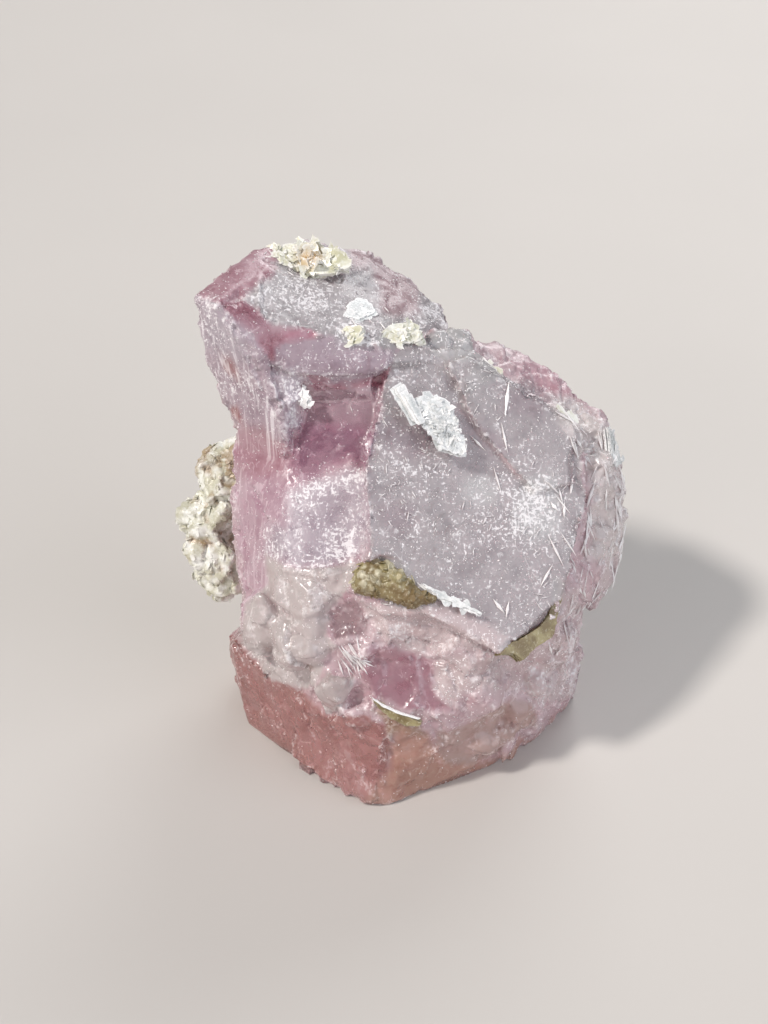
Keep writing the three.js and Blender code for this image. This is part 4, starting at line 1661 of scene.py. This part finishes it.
        def dye(colour: Tint, white: float, share: Array) -> None:
            """Brings a share of the corners to a tint and a frost.

            Args:
                colour: The tint.
                white: How frosted they are.
                share: How far each corner is brought there.
            """
            nonlocal tint, frost
            tint = tint + (np.array(colour.value) - tint) * share[:, None]
            frost = frost + (white * (0.6 + 0.6 * groups) - frost) * share

        for name, face in self.faces.items():
            dye(face.tint, face.frost, shares[name])
        for cloud in self.clouds:
            dye(cloud.tint, cloud.frost, cloud.strength * cloud.share(wavy))
        for name, zone in self.zones.items():
            share = zones[name]
            dye(zone.tint, zone.frost, share)
            polish += (zone.polish - polish) * share
            clear += (zone.clear - clear) * share
        for spot in self.spots:
            dye(spot.tint, spot.frost, spot.strength * spot.share(wavy))
        normals = Workbench.normals(mesh)
        sharp = np.linalg.norm(normals - Workbench.relaxed(mesh, normals, 3), axis=1)
        outward = ((points - Workbench.relaxed(mesh, points, 3)) * normals).sum(axis=1)
        ridge = sharp * smoothstep(-0.02, 0.02, outward)
        rim = smoothstep(12.5, 16.5, points[:, 0]) * smoothstep(9.0, 13.0, points[:, 2])
        rim *= smoothstep(12.0, 8.0, points[:, 1]) * smoothstep(0.35, 0.2, sharp)
        rim += 0.12 * shares["plate"] * smoothstep(4.0, 10.0, points[:, 0])
        spots = StoneNoise.fractal(points, 0.9, Channel.WORN_SPOTS, 3)
        # Worn white on convex ridges and cracks: partly frosted chips, partly painted highlights along the
        # edges.
        worn = np.maximum(smoothstep(0.06, 0.2, ridge), 0.6 * cracks) * smoothstep(-0.4, 0.2, spots)
        tufts = smoothstep(0.0, 0.5, StoneNoise.fractal(points, 3.0, Channel.TUFTS, 2))
        frosty = shares["plate"] + 0.5 * shares["roof"] + 0.2 * shares["window"]
        looks = {
            "tint": tint,
            "frost": np.clip(frost, 0.0, 1.0),
            "polish": np.clip(polish, 0.0, 1.0),
            "clear": np.clip(clear, 0.0, 1.0),
            "streaks": np.clip(shares["neck"] + 0.5 * shares["strip"], 0.0, 1.0),
            "worn": 0.75 * worn,
            "needles": rim,
            "fibres": self.fibrous.share(points),
            "wisps": tufts * frosty,
        }
        for name, values in looks.items():
            Workbench.write(mesh, name, values)


class LeafCutter:
    """Cuts thin sheets with uneven outlines into small triangles."""

    def __init__(self, seed: int) -> None:
        """Starts an empty heap of leaves.

        Args:
            seed: Picks the random numbers.
        """
        self.random = np.random.default_rng(seed)
        self.points: list[Array] = []
        self.tones: list[Array] = []
        self.faces: list[tuple[int, ...]] = []
        self.count = 0

    def sheet(self, outline: Array, spacing: float, jag: float) -> tuple[Array, list[tuple[int, ...]], Array]:
        """Cuts one flat sheet.

        Args:
            outline: Its corners in order, two numbers to a row.
            spacing: How wide its triangles are.
            jag: How uneven its edge is.

        Returns:
            Its places, its triangles, and how far each place is from its edge.
        """
        ring = np.vstack([outline, outline[:1]])
        far = np.concatenate([[0.0], np.cumsum(np.linalg.norm(np.diff(ring, axis=0), axis=1))])
        stops = np.linspace(0.0, far[-1], max(8, int(far[-1] / spacing)), endpoint=False)
        edge = np.stack([np.interp(stops, far, ring[:, k]) for k in range(2)], axis=1)
        edge += self.random.normal(0.0, jag, edge.shape)
        low, high = edge.min(axis=0), edge.max(axis=0)
        lines = [np.arange(a, b, spacing) for a, b in zip(low, high)]
        grid = np.stack(np.meshgrid(*lines), axis=-1).reshape(-1, 2)
        grid += self.random.uniform(-0.3, 0.3, grid.shape) * spacing
        away = np.linalg.norm(grid[:, None] - edge[None], axis=2).min(axis=1)
        grid = grid[Flat.inside(grid, edge) & (away > 0.5 * spacing)]
        flat = [Vector(spot) for spot in np.vstack([edge, grid])]
        cut = delaunay_2d_cdt(flat, [], [list(range(len(edge)))], 1, 1e-5)
        spots = np.array([tuple(spot) for spot in cut[0]])
        depth = np.linalg.norm(spots[:, None] - edge[None], axis=2).min(axis=1)
        return spots, [tuple(face) for face in cut[2]], depth

    def add(self, upper: Array, lower: Array, skin: list[tuple[int, ...]], tone: Array) -> None:
        """Adds a leaf between its upper and its lower side.

        Args:
            upper: The upper side's places.
            lower: The lower side's places, in the same order.
            skin: The upper side's triangles.
            tone: How pale each place is.
        """
        start, below = self.count, self.count + len(upper)
        sides = {(face[k], face[(k + 1) % 3]) for face in skin for k in range(3)}
        for a, b, c in skin:
            self.faces += [(start + a, start + b, start + c), (below + c, below + b, below + a)]
        for a, b in sorted(sides):
            if (b, a) not in sides:
                self.faces.append((start + b, start + a, below + a, below + b))
        self.points += [upper, lower]
        self.tones += [tone, tone]
        self.count += 2 * len(upper)

    def mesh(self, name: str) -> bpy.types.Mesh:
        """Makes one mesh of all the leaves.

        Args:
            name: The mesh's name.

        Returns:
            The mesh, which keeps its tone.
        """
        made = bpy.data.meshes.new(name)
        made.from_pydata(np.concatenate(self.points).tolist(), [], self.faces)
        Workbench.write(made, "tone", np.concatenate(self.tones))
        return made


@dataclass
class Seat:
    """A spot on the crystal where mica sits, in the outline that it shows from the front."""

    node: str
    finish: Finish
    middle: Corner
    facing: Corner
    outline: Outline
    thick: float
    seed: int
    packed: bool = True

    def axes(self) -> Array:
        """Finds the seat's own axes.

        Returns:
            The ways along, across and out of the seat, one to a row.
        """
        out = np.array(self.facing) / np.linalg.norm(self.facing)
        across = SEEN_UP - (SEEN_UP @ out) * out
        across /= np.linalg.norm(across)
        return np.array([np.cross(across, out), across, out])

    def flat_outline(self) -> Array:
        """Lays the outline that is seen from the front onto the seat.

        Returns:
            Its corners, two numbers to a row.
        """
        along, across, out = self.axes()
        seen = np.array(self.outline)
        offset = seen[:, :1] * SEEN_RIGHT + seen[:, 1:] * SEEN_UP
        offset -= np.outer((offset @ out) / (SEEN_OUT @ out), SEEN_OUT)
        return np.stack([offset @ along, offset @ across], axis=1)

    def placed(self, spots: Array, height: Array | float) -> Array:
        """Puts flat places on the seat.

        Args:
            spots: Two numbers to a row.
            height: How far out they stand.

        Returns:
            Places, three numbers to a row.
        """
        tall = np.broadcast_to(height, len(spots))
        return np.array(self.middle) + np.column_stack([spots, tall]) @ self.axes()


@dataclass
class MicaHeap(Seat):
    """Leaves of mica, flat in a book or crumpled together."""

    leaves: int = 6
    shards: int = 0
    crumple: float = 0.1
    jag: float = 0.06
    lean: float = 0.5
    spacing: float = 0.3
    stained: float = 0.0
    fill: float = 1.0
    spread: float = 1.0
    shard: float = 1.0
    pale: float = 0.0

    def build(self) -> bpy.types.Mesh:
        """Builds the leaves and the shards.

        Returns:
            A mesh in millimetres.
        """
        cutter = LeafCutter(self.seed)
        random = cutter.random
        outline = self.flat_outline()
        for leaf in range(self.leaves):
            rise = self.thick * ((leaf + 0.5) / self.leaves - 0.5)
            shrink = self.fill * (1.0 - 0.3 * self.spread * (leaf / self.leaves) * random.uniform(0.3, 1.0))
            shift = self.spread * random.uniform(-0.05, 0.05, 2) * np.ptp(outline, axis=0)
            self.lay(cutter, outline * shrink + shift, rise, 0.8 * self.thick / self.leaves, (0.0, 0.0))
        for _ in range(self.shards):
            size = random.uniform(0.35, 1.0) * self.shard
            angle = np.sort(random.uniform(0.0, 2.0 * math.pi, 7))
            shard = np.stack([np.cos(angle), random.uniform(0.35, 0.8) * np.sin(angle)], axis=1) * size
            turn = random.uniform(0.0, math.pi)
            shard = shard @ np.array([[math.cos(turn), math.sin(turn)], [-math.sin(turn), math.cos(turn)]])
            spot = outline[random.integers(len(outline))] * random.uniform(0.0, 0.85)
            rise = random.uniform(0.1, 0.6) * self.thick
            self.lay(cutter, shard + spot, rise, 0.07, tuple(random.normal(0.0, self.lean, 2)))
        mesh = cutter.mesh(self.node)
        points = Workbench.points(mesh)
        yellow = smoothstep(1.9, 0.6, np.linalg.norm(points - self.middle, axis=1))
        Workbench.write(mesh, "stain", self.stained * yellow)
        return mesh

    def lay(
        self, cutter: LeafCutter, outline: Array, rise: float, thick: float, lean: tuple[float, float]
    ) -> None:
        """Lays one leaf.

        Args:
            cutter: The heap that it goes on.
            outline: Its corners on the seat, two numbers to a row.
            rise: How far out its middle is.
            thick: How thick it is.
            lean: How steeply it leans along and across.
        """
        spots, skin, depth = cutter.sheet(outline, self.spacing, self.jag)
        middle = spots.mean(axis=0)
        lifted = np.column_stack([spots, np.full(len(spots), 7.0 * rise)])
        waves = self.crumple * StoneNoise.fractal(lifted, 1.3, self.seed, 3)
        height = rise + waves + (spots - middle) @ np.array(lean)
        tone = self.pale + 0.45 * smoothstep(0.2, 0.0, depth) + cutter.random.uniform(-0.2, 0.45)
        upper, lower = (self.placed(spots, height + half) for half in (thick / 2, -thick / 2))
        cutter.add(upper, lower, skin, np.clip(tone, 0.0, 1.0))


@dataclass
class MicaMound(Seat):
    """A rounded mound of mica grains."""

    height: float = 1.4
    slope: float = 0.7
    grain: float = 0.3
    spacing: float = 0.16

    def build(self) -> bpy.types.Mesh:
        """Builds the mound, open to scattering on its upper side.

        Returns:
            A mesh in millimetres.
        """
        cutter = LeafCutter(self.seed)
        spots, skin, depth = cutter.sheet(self.flat_outline(), self.spacing, 0.05)
        tall = np.column_stack([spots, np.zeros(len(spots))])
        scoop, _, tilt = StoneNoise.cells(tall, 0.55, self.seed)
        crumbs = 0.08 * StoneNoise.fractal(tall, 0.4, self.seed + 9, 2)
        grains = self.grain * (0.3 - scoop**2 + 0.9 * tilt) + crumbs
        bulge = 1.0 - np.exp(-depth / self.slope)
        upper = self.placed(spots, self.height * bulge + grains * smoothstep(0.0, 0.3, depth) - 0.2)
        # The mound is paler towards its top, on some of its grains.
        tone = 0.8 * smoothstep(0.0, 0.4, tilt) * smoothstep(-1.4, 0.4, spots[:, 1])
        cutter.add(upper, self.placed(spots, -self.thick), skin, tone)
        mesh = cutter.mesh(self.node)
        open_side = np.concatenate([np.ones(len(spots)), np.zeros(len(spots))])
        Workbench.write(mesh, "scales", open_side)
        # Stain here makes the mound darker, in olive brown, towards its bottom.
        Workbench.write(mesh, "stain", np.tile(0.5 * smoothstep(0.2, -1.2, spots[:, 1]), 2))
        return mesh


@dataclass
class CrumblyMica:
    """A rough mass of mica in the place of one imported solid."""

    node: str
    finish: Finish
    voxel: float = 0.17
    lumps: float = 0.9
    depth: float = 0.35
    seed: int = 300

    def build(self) -> bpy.types.Mesh:
        """Builds the mass, all of it open to scattering.

        Returns:
            A mesh in millimetres.
        """
        mesh = Workbench.remeshed(Workbench.solid(self.node), self.voxel)
        points = Workbench.points(mesh)
        normals = Workbench.normals(mesh)
        scoop, _, tilt = StoneNoise.cells(points, self.lumps, self.seed)
        lift = self.depth * (0.3 - scoop**2 + 0.6 * tilt)
        lift += 0.3 * self.depth * StoneNoise.fractal(points, 0.4, self.seed + 20, 3)
        Workbench.move(mesh, points + normals * lift[:, None])
        Workbench.write(mesh, "scales", np.ones(len(points)))
        rusty = smoothstep(0.15, 0.5, StoneNoise.fractal(points, 3.0, self.seed + 40, 3))
        # The mass is browner in the hollows between its lumps, as well as in blots.
        hollow = smoothstep(0.6, 0.9, scoop)
        Workbench.write(mesh, "stain", np.maximum(0.7 * rusty, 0.75 * hollow))
        return mesh


@dataclass
class Studio:
    """The pale floor, the soft lights and the camera."""

    lens: float = 60.0
    sensor: float = 36.0
    floor: float = 6000.0
    drop: float = 0.05
    sky: float = 0.3

    def build(self) -> None:
        """Sets up the floor, the lights and the camera."""
        self.lay_floor()
        self.light("key", (-0.55, -0.3, 0.78), spread=7.0, power=2.25, colour=linear("fff8f2"))
        self.light("fill", (0.8, -0.45, 0.45), spread=60.0, power=1.25, colour=linear("f4f6ff"))
        self.light("front", (-0.62, -0.75, 0.22), spread=40.0, power=0.75, colour=linear("fff6f4"))
        self.light("back", (0.3, 0.8, 0.5), spread=35.0, power=1.1, colour=linear("ffffff"))
        world = bpy.data.worlds.new("studio")
        world.use_nodes = True
        sky = world.node_tree.nodes["Background"].inputs
        sky["Color"].default_value = linear("e8e8ea")
        sky["Strength"].default_value = self.sky
        bpy.context.scene.world = world
        bpy.context.scene.view_settings.view_transform = "Standard"
        self.set_camera()

    def lay_floor(self) -> None:
        """Lays the floor, a little below the crystal's base."""
        half, low = self.floor, -self.drop
        corners = [(-half, -half, low), (half, -half, low), (half, half, low), (-half, half, low)]
        mesh = bpy.data.meshes.new("floor")
        mesh.from_pydata(corners, [], [(0, 1, 2, 3)])
        mesh.transform(Matrix.Scale(MM, 4))
        mesh.materials.append(FloorFinish().material())
        floor = bpy.data.objects.new("floor", mesh)
        bpy.context.scene.collection.objects.link(floor)

    def light(self, name: str, place: Corner, spread: float, power: float, colour: Colour) -> None:
        """Adds a broad, soft light that shines on everything alike.

        Args:
            name: The light's name.
            place: Which way it is from the crystal.
            spread: How broad it looks from the crystal, in degrees.
            power: Its strength.
            colour: Its colour.
        """
        lamp = bpy.data.lights.new(name, "SUN")
        lamp.angle = math.radians(spread)
        lamp.energy = power
        lamp.color = colour[:3]
        holder = bpy.data.objects.new(name, lamp)
        holder.location = Vector(place)
        holder.rotation_euler = Vector(place).to_track_quat("Z", "Y").to_euler()
        bpy.context.scene.collection.objects.link(holder)

    def set_camera(self) -> None:
        """Sets the camera where the crystal was seen from."""
        camera = bpy.data.cameras.new("camera")
        camera.lens = self.lens
        camera.sensor_fit = "VERTICAL"
        camera.sensor_height = self.sensor
        camera.clip_start = 0.001
        holder = bpy.data.objects.new("camera", camera)
        holder.location = Vector(SEEN_MIDDLE + SEEN_AWAY * SEEN_OUT) * MM
        holder.rotation_euler = Vector(SEEN_OUT).to_track_quat("Z", "Y").to_euler()
        bpy.context.scene.collection.objects.link(holder)
        bpy.context.scene.camera = holder


HEAPS = (
    MicaHeap(
        "top_mica_book", Finish.STRAW, (-8.6, 12.5, 43.6), (-0.1, -0.55, 0.83),
        ((-3.9, 1.0), (-2.7, 1.5), (-1.1, 1.8), (0.5, 1.8), (0.7, 1.3), (2.8, 1.0), (3.8, 0.2),
         (3.9, -1.1), (3.0, -1.2), (1.0, -1.8), (-0.4, -1.7), (-1.2, -1.1), (-2.5, -1.4), (-3.5, -0.8),
         (-4.2, 0.2)),
        thick=1.3, seed=3,
        leaves=3, shards=230, crumple=0.4, jag=0.1, lean=0.45, stained=0.95, fill=0.95, shard=0.85,
    ),
    MicaHeap(
        "saddle_mica_left", Finish.STRAW, (-5.2, 5.2, 39.8), (-0.25, -0.75, 0.6),
        ((-1.5, -0.85), (-1.1, 0.2), (-0.5, 0.7), (0.5, 1.1), (1.4, 1.1), (1.5, 0.5), (1.1, -0.2),
         (0.15, -0.85), (-0.6, -1.2), (-1.2, -1.1)),
        thick=0.8, seed=5,
        leaves=4, shards=22, crumple=0.2, lean=0.4, fill=0.95,
    ),
    MicaHeap(
        "saddle_mica_right", Finish.STRAW, (-0.7, 7.0, 38.9), (0.2, -0.6, 0.78),
        ((-2.4, -0.7), (-1.7, 0.2), (-1.0, 1.0), (-0.1, 1.3), (1.0, 1.4), (1.7, 1.0), (2.2, 0.2),
         (2.3, -0.5), (1.3, -0.7), (-0.1, -0.9), (-1.3, -1.0), (-2.2, -1.15)),
        thick=1.0, seed=8,
        leaves=3, shards=80, crumple=0.3, jag=0.1, lean=0.4, fill=0.95, shard=0.75,
    ),
    MicaHeap(
        "ridge_mica", Finish.STRAW, (7.0, 7.4, 34.4), (0.15, -0.6, 0.79),
        ((-1.8, -0.35), (-1.4, 0.6), (-0.7, 0.9), (0.35, 1.25), (1.8, 0.8), (1.6, 0.25), (0.7, -0.25),
         (-0.5, -0.8), (-1.6, -1.3)),
        thick=1.0, seed=13,
        leaves=7, shards=6, crumple=0.12, lean=0.3, stained=0.3,
    ),
    MicaHeap(
        "silver_mica_plate", Finish.SILVER, (2.9, 0.9, 33.4), (0.28, -0.72, 0.64),
        ((-2.65, 2.1), (-1.4, 2.7), (-0.2, 2.65), (0.9, 1.95), (1.4, 0.7), (1.6, -0.35), (2.3, -1.6),
         (2.3, -2.8), (1.05, -2.65), (0.0, -2.3), (-0.7, -1.05), (-1.6, 0.0), (-2.5, 0.9)),
        thick=0.5, seed=21,
        leaves=3, shards=260, crumple=0.16, jag=0.14, lean=0.4, shard=0.55,
    ),
    MicaHeap(
        "white_mica_bar", Finish.SILVER, (2.9, 0.8, 33.6), (0.28, -0.72, 0.64),
        ((-4.25, 3.2), (-3.5, 3.7), (-1.8, 0.35), (-2.4, 0.0)),
        thick=0.7, seed=22,
        packed=False, leaves=5, crumple=0.05, jag=0.03,
    ),
    MicaHeap(
        "rim_mica_upper", Finish.STRAW, (14.7, 7.2, 30.3), (0.5, -0.55, 0.67),
        ((-1.4, 0.2), (-0.9, 0.5), (0.2, 0.7), (0.9, 0.2), (1.05, -0.7), (0.0, -0.7), (-1.05, -0.5)),
        thick=0.6, seed=34,
        leaves=5, shards=6, crumple=0.1, lean=0.3,
    ),
    MicaHeap(
        "rim_mica_side", Finish.SILVER, (19.2, 8.4, 26.4), (0.8, -0.45, 0.35),
        ((-0.7, 1.7), (-0.25, 1.75), (0.1, 0.7), (0.5, -0.45), (1.0, -1.4), (0.25, -1.95),
         (-0.45, -1.25), (-0.5, 0.35)),
        thick=0.7, seed=55,
        leaves=5, shards=8, crumple=0.1, lean=0.3,
    ),
    MicaHeap(
        "white_mica_blade", Finish.SILVER, (4.5, -8.4, 21.1), (0.2, -0.8, 0.55),
        ((-3.4, 1.9), (-2.1, 1.3), (0.0, 0.25), (2.1, -0.9), (2.35, -1.15), (0.7, -0.5), (-0.7, 0.1),
         (-1.9, 0.6)),
        thick=0.7, seed=144,
        leaves=4, shards=4, crumple=0.08, jag=0.04, lean=0.2,
    ),
    MicaHeap(
        "olive_mica_sliver", Finish.OLIVE, (12.4, -5.8, 17.6), (0.5, -0.7, 0.5),
        ((0.9, 3.6), (1.4, 3.0), (1.3, 1.3), (0.9, -0.35), (0.6, -1.85), (-1.05, -2.8), (-2.45, -3.95),
         (-3.15, -3.3), (-4.5, -3.3), (-3.7, -2.45), (-2.1, -1.75), (-0.7, -0.95), (0.0, 0.0),
         (0.6, 1.6), (0.8, 2.8)),
        thick=0.9, seed=233,
        leaves=5, crumple=0.1, jag=0.04, spread=0.15, pale=-0.9,
    ),
    MicaHeap(
        "front_mica_blade", Finish.OLIVE, (-0.8, -10.6, 10.5), (0.1, -0.92, 0.38),
        ((-2.3, 1.3), (-0.9, 0.6), (0.35, -0.1), (1.2, -0.5), (2.3, -0.9), (1.9, -1.3), (0.7, -1.2),
         (-0.7, -0.4), (-1.75, 0.5)),
        thick=0.7, seed=377,
        leaves=5, crumple=0.1, jag=0.04, spread=0.3, pale=-0.4,
    ),
    MicaHeap(
        "front_white_edge", Finish.SILVER, (-0.8, -11.0, 10.8), (0.1, -0.92, 0.38),
        ((-2.4, 1.5), (-1.2, 0.7), (0.1, 0.1), (1.1, -0.25), (2.2, -0.6), (2.15, -0.72), (1.05, -0.42),
         (0.0, -0.08), (-1.3, 0.52), (-2.4, 1.35)),
        thick=0.3, seed=61,
        packed=False, leaves=3, crumple=0.06, jag=0.02, spread=0.1, fill=0.95, pale=0.4,
    ),
    MicaHeap(
        "roof_lens", Finish.SILVER, (-4.1, 8.4, 40.8), (0.34, -0.23, 0.91),
        ((-1.4, -0.2), (-1.2, 0.5), (-0.4, 1.1), (0.5, 1.0), (1.2, 0.4), (1.4, -0.2), (0.5, -0.85),
         (-0.4, -1.15), (-1.2, -1.0)),
        thick=0.25, seed=41,
        packed=False, leaves=2, shards=10, crumple=0.12, jag=0.08, lean=0.15, shard=0.7,
    ),
    MicaHeap(
        "white_fleck", Finish.SILVER, (-8.9, 2.6, 35.2), (-0.3, -0.8, 0.5),
        ((-0.7, 0.6), (-0.15, 1.2), (0.55, 0.45), (0.7, -0.45), (0.15, -0.85), (-0.55, -0.45)),
        thick=0.4, seed=43,
        packed=False, leaves=3, shards=20, crumple=0.15, jag=0.1, lean=0.4, fill=0.95, shard=0.6, pale=0.3,
    ),
)
OLIVE_LUMP = MicaMound(
    "olive_mica_lump", Finish.OLIVE, (-1.4, -7.5, 22.7), (-0.1, -0.7, 0.7),
    ((-3.5, -0.35), (-3.2, 0.9), (-2.6, 1.75), (-1.4, 2.35), (-0.2, 2.3), (0.9, 1.6), (1.85, 0.6),
     (2.3, -0.45), (3.15, -0.9), (4.0, -1.15), (3.85, -1.6), (2.8, -1.85), (1.9, -2.3), (0.7, -1.9),
     (-0.35, -1.4), (-1.9, -1.15), (-3.2, -0.9)),
    thick=1.4, seed=340,
)
CLUMP = CrumblyMica("mica_clump", Finish.CLUMP, lumps=1.5, depth=0.5)
RIM_NEEDLES = Scatter(
    Form.NEEDLE, "needles", density=0.42, least=(0.8, 0.12, 0.06), most=(3.6, 0.42, 0.1), tilt=0.03, seed=17,
    along=(-0.1, 0.5, 0.85), spin=0.75,
)
FRONT_FIBRES = Scatter(
    Form.NEEDLE, "fibres", density=3.4, least=(1.0, 0.1, 0.08), most=(2.6, 0.22, 0.14), tilt=0.2, seed=19,
    along=(0.45, -0.5, -0.74), spin=0.3,
)
PLATE_WISPS = Scatter(
    Form.NEEDLE, "wisps", density=1.1, least=(0.25, 0.05, 0.05), most=(1.3, 0.11, 0.08), tilt=0.06, seed=23,
)
# White glossy flecks over the frosted faces: frost grains, also painted glints standing in for sparkle.
FROST_AND_GLINT_FLECKS = Scatter(
    Form.FLECK, "frost", density=8.0, least=(0.06, 0.05, 0.04), most=(0.24, 0.15, 0.12), tilt=0.6, seed=29,
)
MASS_SCALES = Scatter(
    Form.SCALE, "scales", density=1.6, least=(0.3, 0.25, 0.04), most=(1.1, 0.8, 0.1), tilt=0.6, seed=31,
)


def main() -> None:
    """Builds the specimen and its studio."""
    logging.basicConfig(level=logging.INFO, format="%(name)s: %(message)s")
    palette = Palette()
    Studio().build()

    crystal = Crystal((*HEAPS, OLIVE_LUMP))
    stone = crystal.build()
    evened = crystal.evened(stone)
    needle = palette.of(Finish.NEEDLE)
    for name, scatter, ground in (
        ("rim_needles", RIM_NEEDLES, evened),
        ("front_fibres", FRONT_FIBRES, evened),
        ("plate_wisps", PLATE_WISPS, evened),
        # Flecks: frost grains and painted glints.
        ("frost_and_glint_flecks", FROST_AND_GLINT_FLECKS, stone),
    ):
        Workbench.set_down(name, scatter.over(ground, needle), needle, Finish.NEEDLE.slot(), (), CRISP_MICA)
    Workbench.set_down(crystal.node + "_stone", stone, crystal.finish.material(), "apatite", [crystal.node])

    for mass in (CLUMP, OLIVE_LUMP):
        body = mass.build()
        finish = palette.of(mass.finish)
        scales = MASS_SCALES.over(body, finish)
        Workbench.set_down(mass.node + "_scales", scales, finish, mass.finish.slot(), (), CRISP_MICA)
        Workbench.set_down(mass.node + "_body", body, finish, mass.finish.slot(), [mass.node])
    for heap in HEAPS:
        stands_for = [heap.node] if heap.packed else []
        finish = palette.of(heap.finish)
        leaves = heap.build()
        Workbench.set_down(heap.node + "_leaves", leaves, finish, heap.finish.slot(), stands_for, CRISP_MICA)


if __name__ == "__main__":
    main()
